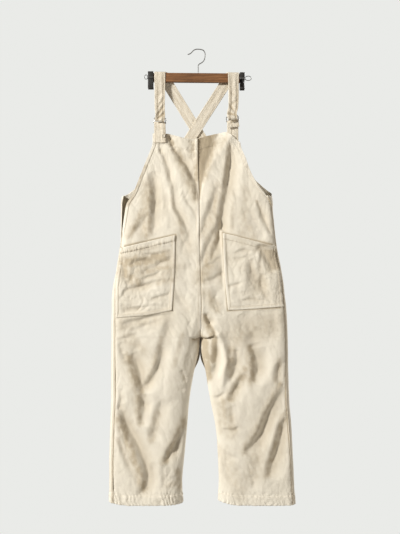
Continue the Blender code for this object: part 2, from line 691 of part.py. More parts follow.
def build_bar(material):
    """The hanger's bar: a long rounded board, slightly tilted."""
    a, b, r = BAR_THICK / 2, BAR_TALL / 2, BAR_ROUND
    outline = []
    for cy, cz, start in ((a - r, b - r, 0), (-a + r, b - r, 90), (-a + r, -b + r, 180), (a - r, -b + r, 270)):
        for step in (0, 30, 60, 90):
            turn = math.radians(start + step)
            outline.append((cy + r * math.cos(turn), cz + r * math.sin(turn)))
    path = np.array([(x, 0.0, bar_top(x) - b) for x in BAR_LENGTH])
    sides = np.tile(np.array([0.0, 1.0, 0.0]), (2, 1))
    normals = np.tile(np.array([0.0, 0.0, 1.0]), (2, 1))
    sweep("hanger_bar", path, sides, normals, outline, material, closed=False)


def build_clip(name, x, width, high, low, material):
    """A plain pinch clip: closed above, its two jaws apart below."""
    profile = [
        (-0.0070, high),
        (0.0070, high),
        (0.0095, low),
        (0.0060, low),
        (0.0032, high - 0.016),
        (-0.0032, high - 0.016),
        (-0.0060, low),
        (-0.0095, low),
    ]
    points = [(x + s * width / 2, y, z) for s in (-1, 1) for y, z in profile]
    count = len(profile)
    faces = [[k, (k + 1) % count, count + (k + 1) % count, count + k] for k in range(count)]
    quads = [(0, 1, 4, 5), (1, 2, 3, 4), (0, 5, 6, 7)]
    faces += [list(quad) for quad in quads]
    faces += [[count + k for k in quad][::-1] for quad in quads]
    add_solid(name, points, faces, material, smooth=False)


def build_loop(name, x0, x1, z0, z1, material):
    """A small wire end loop beside a clip."""
    count = 14
    centre = np.array([(x0 + x1) / 2, 0.0, (z0 + z1) / 2])
    a = (x1 - x0) / 2 - LOOP_WIRE
    b = (z1 - z0) / 2 - LOOP_WIRE
    turns = [2 * math.pi * k / count for k in range(count)]
    line = np.array([(a * math.cos(t), 0.0, b * math.sin(t)) for t in turns]) + centre
    build_wire(name, line, LOOP_WIRE, 6, material, closed=True)


def build_hook(material):
    """The hanger's wire hook, standing on the bar."""
    line = np.array([(x, 0.0, z) for x, z in spline(HOOK_LINE, 2)])
    line[0, 2] = bar_top(line[0, 0]) + SEAM_GAP
    build_wire("hanger_hook", line, HOOK_WIRE, 8, material)


def main():
    """Build every piece."""
    clear_scene()
    cord = finish("cream corduroy", (0.86, 0.80, 0.68), 0.92)
    edge = finish("cream strap corduroy", (0.84, 0.78, 0.66), 0.92)
    steel = finish("grey steel", (0.45, 0.44, 0.42), 0.35, 1.0)
    shell = finish("pale button", (0.62, 0.57, 0.48), 0.45)
    wood = finish("brown wood", (0.25, 0.12, 0.055), 0.45)
    chrome = finish("bright wire", (0.75, 0.75, 0.74), 0.2, 1.0)
    black = finish("dark clip", (0.02, 0.02, 0.02), 0.45)
    halves = {"left": Half(-1), "right": Half(1)}
    for word, half in halves.items():
        front = front_grid(half)
        inner = inner_direction(front[:, 0], half.side, -1.0)
        panel("front_" + word, front, np.array([0.0, -1.0, 0.0]), inner, None, cord)
        back = back_grid(half)
        middle = half.side * (half.inner(back[..., 2]) + half.outer(back[..., 2])) / 2
        outside = back - np.stack([middle, 0 * middle, back[..., 2]], axis=-1)
        inner = inner_direction(back[:, -1], half.side, 1.0)
        panel("back_" + word, back, outside, None, inner, cord)
    for name, pocket in POCKETS.items():
        half = halves["left" if pocket.side < 0 else "right"]
        build_pocket(name, pocket, half, cord)
    for word, strap in STRAPS.items():
        build_strap(word, strap, edge)
        build_ring(word, strap, steel)
    left, right = STRAPS["left"], STRAPS["right"]
    build_tab("left", left, halves["left"], -0.1230, -0.2905, -0.2905, True, edge)
    build_tab("right", right, halves["right"], 0.1010, -0.0180, -0.2920, False, edge, 0.0014)
    tab_y = bib_y(halves["left"], -0.1230, -0.2700)
    tab_y -= LAYER + TAB_CLOTH + SEAM_GAP + BUTTON_THICK + 0.0004
    build_button(-0.1120, -0.2700, tab_y, shell)
    build_bar(wood)
    build_hook(chrome)
    build_clip("clip_left", -0.1526, 0.0170, -0.0680, -0.1205, black)
    build_clip("clip_right", 0.1306, 0.0150, -0.0710, -0.1235, black)
    build_loop("loop_left", -0.1730, -0.1615, -0.0915, -0.0760, chrome)
    build_loop("loop_right", 0.1385, 0.1600, -0.0955, -0.0800, chrome)


main()
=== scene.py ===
"""Corduroy bib overtrousers on a clip hanger: fine forms, folds, sewing and finishes.

Metres, +Z up, the front towards -Y. Left and right are as seen from the front.
Every cloth piece is a thin closed wall on its solid's form, with its creases laid
out in short tables; seams, hems, stitches and the cord's wales follow it.
"""

from __future__ import annotations

import logging
import math
from dataclasses import dataclass, field
from enum import Enum
from typing import Sequence

import bmesh
import bpy
import numpy as np
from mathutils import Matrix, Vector


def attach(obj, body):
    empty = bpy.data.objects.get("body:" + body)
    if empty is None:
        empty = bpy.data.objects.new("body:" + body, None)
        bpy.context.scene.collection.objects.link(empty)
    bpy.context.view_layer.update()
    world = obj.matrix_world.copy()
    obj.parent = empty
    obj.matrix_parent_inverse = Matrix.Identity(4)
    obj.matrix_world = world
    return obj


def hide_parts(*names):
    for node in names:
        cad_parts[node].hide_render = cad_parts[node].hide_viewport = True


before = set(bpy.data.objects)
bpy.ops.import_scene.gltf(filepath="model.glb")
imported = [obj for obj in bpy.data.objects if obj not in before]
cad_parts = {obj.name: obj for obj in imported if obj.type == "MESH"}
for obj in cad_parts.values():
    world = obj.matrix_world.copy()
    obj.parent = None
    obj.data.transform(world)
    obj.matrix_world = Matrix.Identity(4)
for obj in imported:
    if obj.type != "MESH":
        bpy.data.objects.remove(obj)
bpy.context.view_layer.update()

LOG = logging.getLogger("overtrousers")

Array = np.ndarray
Finish = bpy.types.Material
Piece = bpy.types.Object
Socket = bpy.types.NodeSocket

# Cloth and seams
CLOTH = 0.0017
SEAM_GAP = 0.0003
SEAM_SET_BACK = 0.00022
HEM_HEIGHT = 0.028
STRAP_CLOTH = 0.0024
TAB_CLOTH = 0.0022
TAB_WIDTH = 0.034
LAYER = CLOTH / 2 + SEAM_GAP
FELL = 0.005
SEWN_EDGE = 0.0085
FRONT_FACING = 0.034
BACK_FACING = 0.03
POCKET_SINK = 0.0014
MOUTH_PITCH = 0.0088
SIDE_OPENING = 0.11
WALE_PITCH = 0.0021

# Heights of the garment; from the fit heights up, the rows follow the top edge
BIB_TOP = -0.256
SIDE_TOP = -0.4557
HOLLOW_TOP = -0.8
CROTCH = -0.888
HEM = -1.393
HEM_SAG = 0.007
FRONT_FIT = -0.345
BACK_FIT = -0.72

# Shares of the half width where the front turns to the side fold and the leg's inner side
SIDE_TURN = 0.83
SIDE_FULL = 3.2
INNER_TURN = 0.3


class Side(Enum):
    """The garment's halves, as seen from the front."""

    LEFT = -1
    RIGHT = 1

    @property
    def word(self) -> str:
        """The half's name."""
        return self.name.lower()


class Face(Enum):
    """Which panel of a half."""

    FRONT = "front"
    BACK = "back"


# Shape helpers


def step(low: float, high: float, value: Array) -> Array:
    """Rise smoothly from 0 below low to 1 above high.

    Args:
        low: where the rise starts.
        high: where it ends.
        value: the values to map.

    Returns:
        The mapped values.
    """
    t = np.clip((value - low) / (high - low), 0.0, 1.0)
    return t * t * (3.0 - 2.0 * t)


def bell(away: Array, width: float) -> Array:
    """1 at no distance, fading both ways like a bell."""
    return np.exp(-((away / width) ** 2))


def fade(away: Array, reach: float) -> Array:
    """1 up to no distance, fading beyond it."""
    return np.exp(-np.maximum(away, 0.0) / reach)


def unit(steps: Array) -> Array:
    """Vectors brought to length one."""
    return steps / np.maximum(np.linalg.norm(steps, axis=-1, keepdims=True), 1e-12)


def read_line(line: Sequence, place: Array) -> Array:
    """The value of a line of (place, value) points at any place."""
    return np.interp(place, [point[0] for point in line], [point[1] for point in line])


def lattice(x: Array, y: Array, seed: int) -> Array:
    """Smooth gradient noise over a plane, about -1 to 1.

    Args:
        x: first coordinate, in cells.
        y: second coordinate, in cells.
        seed: which pattern.

    Returns:
        The noise at each point.
    """
    x, y = np.broadcast_arrays(np.asarray(x, float), np.asarray(y, float))
    x0, y0 = np.floor(x), np.floor(y)
    fx, fy = x - x0, y - y0
    ux = fx * fx * fx * (fx * (fx * 6 - 15) + 10)
    uy = fy * fy * fy * (fy * (fy * 6 - 15) + 10)
    corners = []
    for dx in (0, 1):
        for dy in (0, 1):
            key = (x0 + dx) * 127.1 + (y0 + dy) * 311.7 + seed * 74.7
            turn = np.mod(np.sin(key) * 43758.5453, 1.0) * 2 * math.pi
            corners.append(np.cos(turn) * (fx - dx) + np.sin(turn) * (fy - dy))
    near = corners[0] + (corners[1] - corners[0]) * uy
    far = corners[2] + (corners[3] - corners[2]) * uy
    return 1.6 * (near + (far - near) * ux)


def spline(points: Array, most: float) -> Array:
    """A smooth line through points that doesn't overshoot.

    Args:
        points: one row a point, any number of columns; the first three or two are its place.
        most: the longest step between the made points.

    Returns:
        The points of the smooth line.
    """
    line = np.asarray(points, float)
    ends = np.concatenate([[2 * line[0] - line[1]], line, [2 * line[-1] - line[-2]]])
    made = []
    for index in range(len(line) - 1):
        a, b, c, d = ends[index:index + 4]
        gaps = [max(np.linalg.norm((q - p)[:3]), 1e-9) ** 0.5 for p, q in ((a, b), (b, c), (c, d))]
        t0, t1 = 0.0, gaps[0]
        t2, t3 = t1 + gaps[1], t1 + gaps[1] + gaps[2]
        count = max(1, math.ceil(np.linalg.norm((c - b)[:3]) / most))
        for k in range(count):
            t = t1 + (t2 - t1) * k / count
            p = (t1 - t) / (t1 - t0) * a + (t - t0) / (t1 - t0) * b
            q = (t2 - t) / (t2 - t1) * b + (t - t1) / (t2 - t1) * c
            r = (t3 - t) / (t3 - t2) * c + (t - t2) / (t3 - t2) * d
            u = (t2 - t) / (t2 - t0) * p + (t - t0) / (t2 - t0) * q
            v = (t3 - t) / (t3 - t1) * q + (t - t1) / (t3 - t1) * r
            made.append((t2 - t) / (t2 - t1) * u + (t - t1) / (t2 - t1) * v)
    made.append(line[-1])
    return np.array(made)


# The garment's stations, one row a height, in tenths of a millimetre


@dataclass(frozen=True)
class Station:
    """The garment's cut at one height: side folds, seam insets, inner edges and depths."""

    z: float
    left: float
    seam_left: float
    open_left: float
    in_left: float
    in_right: float
    seam_right: float
    right: float
    front: float
    back: float


STATIONS = tuple(Station(*(value / 10000 for value in row)) for row in (
    (-2560, -2050, 600, 0, -81, -81, 600, 1828, 130, 100),
    (-2929, -2045, 600, 0, -77, -77, 600, 1890, 150, 105),
    (-3255, -2169, 600, 0, -70, -70, 600, 1965, 180, 110),
    (-3565, -2260, 570, 0, -62, -62, 570, 2027, 210, 115),
    (-3875, -2317, 510, 0, -53, -53, 500, 2078, 245, 120),
    (-4185, -2355, 430, 0, -44, -44, 370, 2118, 280, 130),
    (-4371, -2373, 380, 300, -38, -38, 280, 2165, 300, 135),
    (-4557, -2387, 332, 290, -34, -34, 165, 2217, 320, 140),
    (-4743, -2418, 174, 145, -32, -32, 77, 2229, 335, 155),
    (-5022, -2421, 134, 105, -28, -28, 59, 2248, 350, 175),
    (-5425, -2427, 83, 55, -24, -24, 44, 2283, 365, 200),
    (-5890, -2433, 42, 0, -18, -18, 48, 2337, 380, 220),
    (-6355, -2496, 62, 0, -8, -8, 54, 2404, 395, 240),
    (-6820, -2573, 81, 0, 8, 8, 67, 2504, 400, 255),
    (-7285, -2669, 109, 0, 23, 23, 81, 2579, 400, 265),
    (-7750, -2709, 130, 0, 36, 36, 95, 2636, 395, 275),
    (-8432, -2728, 138, 0, 27, 27, 97, 2687, 380, 280),
    (-8880, -2728, 139, 0, 16, 22, 95, 2701, 370, 280),
    (-9362, -2728, 140, 0, -23, 25, 93, 2711, 365, 280),
    (-9920, -2728, 141, 0, -172, 165, 101, 2721, 360, 280),
    (-10478, -2728, 142, 0, -273, 245, 112, 2731, 355, 275),
    (-10974, -2734, 143, 0, -341, 338, 121, 2752, 350, 275),
    (-11501, -2761, 143, 0, -378, 449, 121, 2809, 345, 270),
    (-11997, -2782, 143, 0, -422, 515, 115, 2837, 340, 270),
    (-12648, -2803, 143, 0, -484, 548, 109, 2866, 340, 270),
    (-13268, -2798, 143, 0, -549, 573, 104, 2898, 340, 270),
    (-13930, -2790, 143, 0, -528, 562, 99, 2933, 340, 270),
))

BIB_EDGE = (
    (-0.15, -0.2622), (-0.12, -0.2618), (-0.095, -0.2634), (-0.056, -0.2745), (-0.033, -0.2785),
    (-0.017, -0.2792), (0.004, -0.2735), (0.026, -0.2665), (0.05, -0.2605), (0.076, -0.2552),
    (0.088, -0.2575), (0.097, -0.265), (0.11, -0.278), (0.123, -0.289),
)
BACK_EDGE = (
    (0.000, -0.364), (0.105, -0.3665), (0.135, -0.377), (0.165, -0.396), (0.195, -0.423),
    (0.222, -0.445), (0.245, -0.4557),
)


# Creases


@dataclass(frozen=True)
class Crease:
    """One fold or crease: its line, half width, depth into the garment (a ridge is negative) and lean.

    The lean makes the side left of its way down wider (below 0) or narrower.
    """

    points: tuple
    width: float
    depth: float
    lean: float = 0.35


def lay(*rows: tuple) -> tuple:
    """Creases from short rows.

    Args:
        rows: places along it (x and z in turn, in millimetres), half width and depth in tenths of
            a millimetre, and sometimes the lean.

    Returns:
        The creases.
    """
    made = []
    for places, width, depth, *lean in rows:
        points = tuple((x / 1000, z / 1000) for x, z in zip(places[::2], places[1::2]))
        made.append(Crease(points, width / 10000, depth / 10000, *lean))
    return tuple(made)


FRONT_CREASES = lay(
    # bib and body, left
    ((-148, -381, -139, -422, -135, -466, -137, -515, -143, -574), 150, 95, 0.4),
    ((-154, -506, -173, -538, -199, -569), 110, 36),
    ((-110, -435, -106, -480, -110, -533), 66, 16),
    ((-120, -305, -106, -337, -92, -386, -82, -430, -76, -471, -61, -511, -39, -556), 95, 54),
    ((-96, -265, -88, -285, -76, -314), 98, 71),
    ((-123, -294, -121, -310, -118, -328), 56, 32),
    ((-83, -305, -57, -337, -34, -370, -16, -404, -8, -439, -5, -475), 129, 95),
    ((-52, -444, -34, -480, -16, -506, -7, -529), 91, 30),
    ((-70, -489, -52, -524, -34, -565, -30, -605), 105, 32),
    ((-97, -444, -94, -493, -88, -547), 119, 24),
    # beside the centre seam
    ((-34, -283, -23, -288, -13, -285), 53, 26),
    ((-38, -305, -24, -315, -13, -311), 57, 28),
    ((-34, -334, -21, -340, -12, -334), 50, 24),
    # bib and body, right
    ((96, -290, 96, -328, 93, -368, 88, -408, 81, -448, 73, -489, 68, -524, 65, -565, 53, -609, 33, -654), 137, 124),
    ((60, -422, 43, -466, 27, -511, 14, -547, 3, -580), 105, 56),
    ((55, -542, 40, -578, 23, -618, 5, -668), 126, 67),
    ((109, -435, 113, -480, 107, -529, 105, -560), 119, 37),
    ((140, -435, 143, -480, 138, -533), 147, 32),
    ((177, -471, 187, -502, 204, -538, 219, -574), 98, 67),
    ((154, -498, 167, -533, 181, -560), 126, 30),
    # hips
    ((69, -641, 38, -663, 9, -676), 72, 30),
    ((78, -685, 42, -708, 9, -717), 77, 38),
    ((65, -578, 68, -636, 70, -694, 73, -739), 280, 55, 0.2),
    ((-34, -578, -47, -605, -56, -632), 88, 22),
    ((-75, -752, -58, -778, -31, -804), 110, 24),
    # under the left pocket
    ((-97, -817, -145, -826, -198, -837, -239, -848), 77, 36),
    ((-114, -837, -154, -848, -215, -870), 88, 30),
    ((-189, -879, -233, -892, -246, -900), 77, 26),
    # crotch
    ((-9, -815, -18, -850, -30, -887, -42, -931, -58, -979), 72, -14, -0.3),
    ((12, -817, 52, -870, 73, -914, 79, -962, 72, -1014, 65, -1049), 98, -72, -0.3),
    ((15, -815, 33, -848, 51, -879), 84, 113),
    ((48, -890, 52, -927, 47, -971, 30, -1019), 115, 86),
    # left leg
    ((-87, -809, -97, -857, -111, -905, -125, -949), 160, 48, 0.4),
    ((-112, -918, -121, -962, -135, -997, -152, -1025, -172, -1048), 119, 82),
    ((-206, -936, -192, -971, -180, -1014, -174, -1059), 171, 119),
    ((-178, -1058, -171, -1093, -172, -1124, -179, -1157), 129, 86),
    ((-243, -1093, -217, -1170, -186, -1224, -166, -1275, -157, -1316, -166, -1352, -191, -1368), 157, 124),
    ((-248, -1194, -231, -1238, -211, -1290, -191, -1330), 109, 41),
    ((-35, -1148, -51, -1185, -68, -1216, -87, -1242, -107, -1270), 151, 119),
    ((-113, -1076, -129, -1133, -146, -1203), 147, 45),
    ((-40, -1260, -58, -1299, -75, -1334), 105, 39),
    ((-50, -1308, -61, -1330, -72, -1344), 84, 52),
    ((-114, -1277, -107, -1312, -114, -1356), 133, 32),
    ((-68, -1046, -52, -1047, -36, -1042), 60, 12),
    ((-57, -986, -51, -1006, -44, -1026), 77, 26),
    ((-247, -905, -237, -931, -227, -956), 91, 43),
    ((-245, -1045, -240, -1076, -247, -1111), 66, 36),
    # right leg
    ((122, -817, 157, -870, 170, -918), 340, 75, 0.4),
    ((111, -923, 113, -962, 104, -997, 91, -1027), 123, 86),
    ((158, -909, 174, -949, 178, -988, 167, -1027), 161, 113),
    ((140, -997, 123, -1023, 107, -1052, 91, -1084), 119, 76),
    ((244, -936, 215, -992, 177, -1067, 144, -1137), 200, -26, -0.3),
    ((257, -1045, 234, -1080, 215, -1115, 202, -1146, 186, -1185, 163, -1216, 139, -1244), 140, 106),
    ((263, -1133, 252, -1172, 244, -1207, 233, -1242, 222, -1277, 211, -1317), 175, 135),
    ((258, -1084, 223, -1146, 196, -1203, 179, -1260, 174, -1308), 260, 40, 0.4),
    ((76, -1055, 61, -1069, 40, -1074), 53, 44),
    ((251, -962, 237, -992, 244, -1027), 119, 52),
    ((120, -1162, 96, -1171, 68, -1170), 60, 36),
    ((118, -1260, 87, -1251, 59, -1223), 86, 30),
    ((64, -1260, 76, -1299, 98, -1327, 120, -1344), 115, 50),
    ((153, -1308, 167, -1330, 158, -1352), 91, 39),
    ((87, -1102, 100, -1128, 107, -1157), 112, 32),
)

BACK_CREASES = lay(
    # seat
    ((-52, -640, -80, -730, -78, -800, -50, -862), 130, 64),
    ((60, -622, 90, -720, 88, -800, 56, -866), 130, 66),
    ((-20, -868, -70, -905, -130, -918), 90, 52),
    ((24, -872, 76, -902, 140, -910), 90, 50),
    # back
    ((-98, -400, -110, -470, -100, -560), 100, 40),
    ((86, -398, 100, -480, 120, -575), 105, 44),
    ((-160, -450, -150, -530, -168, -610), 130, 50),
    ((158, -455, 166, -540, 150, -640), 130, 48),
    ((-30, -430, -24, -500, -30, -570), 90, 26),
    ((36, -450, 30, -520, 40, -600), 90, 28),
    # legs
    ((-180, -790, -166, -870, -176, -950), 110, 42),
    ((186, -780, 178, -860, 166, -940), 110, 44),
    ((-224, -985, -180, -1030, -132, -1062), 100, 62),
    ((228, -1005, 186, -1050, 140, -1096), 100, 66),
    ((-100, -985, -112, -1030, -150, -1080), 85, 40),
    ((90, -1000, 110, -1050, 130, -1120), 85, 42),
    ((-90, -1130, -120, -1200, -146, -1270, -150, -1340), 115, 74),
    ((104, -1140, 140, -1205, 160, -1270, 176, -1345), 115, 76),
    ((-220, -1150, -205, -1220, -214, -1300), 105, 50),
    ((232, -1160, 222, -1230, 236, -1310), 105, 52),
    ((-170, -1110, -176, -1200, -184, -1280), 110, -30, -0.3),
    ((186, -1120, 192, -1200, 204, -1280), 110, -30, -0.3),
)


@dataclass(frozen=True)
class CreaseField:
    """A set of creases that can be read at any place on the cloth."""

    creases: tuple
    seed: int
    lip: float = 0.06
    gain: float = 1.22

    def depth(self, x: Array, z: Array) -> Array:
        """How far the creases push the cloth in.

        Args:
            x: across the garment.
            z: height.

        Returns:
            The summed depth, positive into the garment.
        """
        x, z = np.broadcast_arrays(x, z)
        total = np.zeros(x.shape)
        sway = 0.0022 * lattice(x / 0.03, z / 0.03, self.seed)
        for number, crease in enumerate(self.creases):
            line = spline(np.array(crease.points), 0.012)
            reach = crease.width * 3.6
            low, high = line.min(axis=0) - reach, line.max(axis=0) + reach
            mask = (x > low[0]) & (x < high[0]) & (z > low[1]) & (z < high[1])
            if not mask.any():
                continue
            total[mask] += self._one(crease, line, x[mask], z[mask], sway[mask], number)
        return total

    def _one(self, crease: Crease, line: Array, x: Array, z: Array, sway: Array, number: int) -> Array:
        """Depth of one crease at points near it.

        Args:
            crease: the crease.
            line: its smooth line.
            x: across the garment.
            z: height.
            sway: how far the line wanders at each point.
            number: the crease's place in its table.

        Returns:
            The depth at each point.
        """
        best = np.full(x.shape, 1e9)
        along = np.zeros(x.shape)
        sign = np.ones(x.shape)
        spans = len(line) - 1
        for index in range(spans):
            (x0, z0), (x1, z1) = line[index], line[index + 1]
            dx, dz = x1 - x0, z1 - z0
            share = np.clip(((x - x0) * dx + (z - z0) * dz) / (dx * dx + dz * dz), 0.0, 1.0)
            ex, ez = x - x0 - share * dx, z - z0 - share * dz
            away = np.hypot(ex, ez)
            nearer = away < best
            along = np.where(nearer, (index + share) / spans, along)
            sign = np.where(nearer, np.sign(dx * ez - dz * ex), sign)
            best = np.minimum(best, away)
        offset = best * sign + sway
        pulse = 0.85 + 0.3 * lattice(along * 3.1 + number * 7.3, 0.0 * along, self.seed + 5)
        taper = np.clip(4.0 * along * (1.0 - along), 0.0, 1.0) ** 0.6
        end = np.exp(-(np.where((along < 1e-6) | (along > 1 - 1e-6), best, 0.0) / (crease.width * 1.2)) ** 2)
        width = crease.width * (1.0 + crease.lean * np.tanh(offset / crease.width * 2.0)) * (0.7 + 0.3 * taper)
        near = np.sqrt(offset ** 2 + 0.0011 ** 2) - 0.0011
        flank = np.clip(1.0 - near / (2.1 * width), 0.0, 1.0)
        core = 0.75 * flank ** 1.3 + 0.25 * bell(offset, width)
        lips = np.exp(-(((np.abs(offset) - 2.4 * width) / width) ** 2))
        return self.gain * crease.depth * pulse * (0.08 + 0.92 * taper) * end * (core - self.lip * lips)


@dataclass(frozen=True)
class BibHollow:
    """The right side of the bib, which falls back from the centre seam to the ridge."""

    edge: tuple = ((-0.5, 0.001), (-0.46, 0.005), (-0.42, 0.012), (-0.36, 0.028), (-0.3, 0.058),
                   (-0.262, 0.078))
    slope: float = 0.21
    step_in: float = 0.003

    def depth(self, x: Array, z: Array) -> Array:
        """How far the hollow pushes the cloth in, right of the middle.

        Args:
            x: across the garment.
            z: height.

        Returns:
            The depth, positive inwards.
        """
        reach = read_line(self.edge, z)
        share = np.clip(x / reach, 0.0, 2.0)
        fall = np.minimum(share / 0.8, 1.0) * (1.0 - step(0.8, 1.5, share))
        return self._strong(z) * (self.slope * reach * fall + self.step_in * (share > 0) * np.exp(-share * 3.0))

    def shade(self, x: Array, z: Array) -> Array:
        """How much painted shade the fallen side gets, 0 to 1."""
        share = x / read_line(self.edge, z)
        return self._strong(z) * step(0.0, 0.05, share) * (1.0 - step(0.62, 0.92, share))

    @staticmethod
    def _strong(z: Array) -> Array:
        """1 at the bib's top, 0 where the hollow has ended."""
        return step(-0.5, -0.43, z)


# Strokes of painted shade on the front's cloth, where its folds lie in shade: top end (x, z),
# low end (x, z) and half width in millimetres, and strength in hundredths
PAINTED_SHADE_ROWS = (
    (80, -277, 37, -338, 15, 24), (194, -618, 167, -623, 10, 22), (-100, -266, -83, -294, 10, 62),
    (55, -288, 8, -293, 12, 40), (64, -436, 37, -578, 27, 30), (102, -355, 98, -556, 12, 22),
    (144, -445, 131, -596, 19, 18), (-96, -681, -223, -685, 47, 28), (17, -747, 52, -795, 17, 36),
    (-75, -751, -40, -795, 17, 14), (-70, -315, -9, -458, 17, 46), (-23, -293, -18, -346, 13, 34),
    (33, -288, 4, -391, 27, 72), (93, -306, 60, -556, 12, 34), (60, -445, 6, -578, 11, 36),
    (51, -605, 11, -708, 26, 42), (-152, -427, -159, -569, 22, 42), (-172, -503, -212, -578, 12, 42),
    (-83, -467, -50, -569, 10, 32), (-170, -364, -217, -480, 9, 42), (-114, -315, -70, -485, 9, 22),
    (-105, -645, -226, -663, 21, 60), (-87, -672, -172, -690, 13, 42), (-230, -685, -190, -717, 21, 48),
    (-78, -712, -128, -721, 12, 36), (144, -668, 180, -699, 22, 16), (200, -610, 218, -676, 16, 38),
    (131, -516, 162, -578, 18, 24), (173, -471, 207, -543, 5, 32), (-52, -534, -29, -618, 27, 22),
    (-132, -614, -208, -623, 11, 26), (127, -627, 153, -659, 11, 12), (-215, -948, -177, -1066, 18, 50),
    (-188, -1070, -180, -1149, 15, 42), (-112, -891, -167, -1039, 11, 34), (-101, -826, -236, -852, 33, 22),
    (-241, -1135, -167, -1349, 18, 48), (-249, -1197, -217, -1275, 8, 26), (-49, -1149, -105, -1266, 14, 50),
    (-127, -1122, -147, -1201, 15, 34), (-66, -1297, -62, -1349, 10, 38), (-57, -1336, -101, -1341, 11, 22),
    (12, -896, 24, -1010, 18, 80), (46, -886, 41, -958, 10, 80), (98, -917, 95, -1000, 15, 44),
    (156, -917, 161, -1018, 17, 50), (141, -991, 95, -1074, 18, 46), (74, -1087, 100, -1170, 25, 34),
    (213, -856, 117, -887, 46, 28), (244, -961, 235, -1018, 12, 34), (244, -1031, 139, -1236, 14, 36),
    (261, -1131, 207, -1306, 16, 44), (200, -1157, 165, -1310, 31, 26), (74, -1245, 126, -1349, 33, 20),
    (15, -826, 41, -876, 12, 60), (-52, -880, -78, -975, 9, 24), (60, -1105, 65, -1179, 9, 24),
    (-215, -887, -175, -926, 26, 26),
)


def soiling(x: Array, z: Array) -> Array:
    """Painted shade on the front's cloth, in soft mottled strokes along its shaded folds.

    Args:
        x: across the garment.
        z: height.

    Returns:
        The painted shade at each point, 0 to 1.
    """
    # noise mottles the strokes' painted shade
    grain = 0.95 + 0.5 * lattice(x / 0.013, z / 0.017, 131) + 0.22 * lattice(x / 0.005, z / 0.006, 132)
    total = np.zeros(np.broadcast(x, z).shape)
    for *places, strength in PAINTED_SHADE_ROWS:
        high_x, high_z, low_x, low_z, wide = (value / 1000 for value in places)
        run, fall = low_x - high_x, low_z - high_z
        length = math.hypot(run, fall)
        share = np.clip(((x - high_x) * run + (z - high_z) * fall) / length ** 2, 0.0, 1.0)
        near = np.hypot(x - high_x - share * run, z - high_z - share * fall)
        right = (x - high_x) * -fall + (z - high_z) * run > 0.0
        reach = near / (wide * np.where(right, 0.8, 1.2))
        total = np.maximum(total, strength / 100 * np.exp(-1.1 * reach ** 2.4))
    return np.minimum(1.55 * total * np.clip(grain, 0.2, 1.5), 0.85)


@dataclass(frozen=True)
class CrotchLedge:
    """The cloth that hangs over the crotch in a wavy edge, with a hollow under it."""

    line: tuple = ((-0.034, -0.889), (-0.0235, -0.8915), (-0.015, -0.8938), (-0.007, -0.8922), (0.0045, -0.8855),
                   (0.013, -0.8893), (0.021, -0.8888), (0.03, -0.8858), (0.04, -0.8822), (0.048, -0.8765))
    out: float = 0.0042
    under: float = 0.004

    def height(self, x: Array, z: Array) -> Array:
        """How far the ledge stands out above its line and falls back under it.

        Args:
            x: across the garment.
            z: height.

        Returns:
            The height, positive outwards.
        """
        above = z - read_line(self.line, x)
        window = step(-0.036, -0.022, x) * (1.0 - step(0.036, 0.05, x))
        swell = self.out * fade(above, 0.018)
        hollow = -self.under * fade(-above, 0.022)
        return window * (hollow + (swell - hollow) * step(-0.0014, 0.0014, above))

    def shade(self, x: Array, z: Array) -> Array:
        """The painted shadow in the hollow under the ledge, 0 to 1.

        Args:
            x: across the garment.
            z: height.

        Returns:
            The shade.
        """
        under = read_line(self.line, x) - z
        window = step(-0.028, -0.02, x) * (1.0 - step(0.036, 0.046, x))
        return 1.3 * window * step(-0.0018, 0.0002, under) * fade(under, 0.007)


BIB_HOLLOW = BibHollow()
CROTCH_LEDGE = CrotchLedge()
FRONT_FIELD = CreaseField(FRONT_CREASES, seed=3)
BACK_FIELD = CreaseField(BACK_CREASES, seed=11, lip=0.03, gain=0.95)


@dataclass
class GarmentForm:
    """The garment's smooth form, read from its stations."""

    soften: float = 0.01
    grid: Array = field(default_factory=lambda: np.arange(-1.46, -0.2, 0.002))
    columns: dict = field(default_factory=dict)

    def __post_init__(self) -> None:
        """Spread the stations over a fine grid and soften their corners."""
        heights = [row.z for row in STATIONS][::-1]
        reach = np.arange(-15, 16) * 0.002
        weights = np.exp(-((reach / self.soften) ** 2) / 2)
        weights /= weights.sum()
        for name in Station.__dataclass_fields__:
            values = [getattr(row, name) for row in STATIONS][::-1]
            rough = np.interp(self.grid, heights, values)
            padded = np.pad(rough, 15, mode="edge")
            self.columns[name] = np.convolve(padded, weights, mode="valid")

    def value(self, name: str, z: Array) -> Array:
        """A station column at any height."""
        return np.interp(z, self.grid, self.columns[name])


FORM = GarmentForm()


def legness(z: Array) -> Array:
    """0 in the body, 1 in the legs."""
    return step(-HOLLOW_TOP - 0.06, -CROTCH + 0.03, -z)


def centre_share(z: Array) -> Array:
    """How far the centre seams stand from the middle: 1 in the body, 0 at the crotch."""
    drop = np.clip((HOLLOW_TOP - z) / (HOLLOW_TOP - CROTCH), 0.0, 1.0)
    return np.sqrt(np.maximum(1.0 - drop * drop, 0.0))


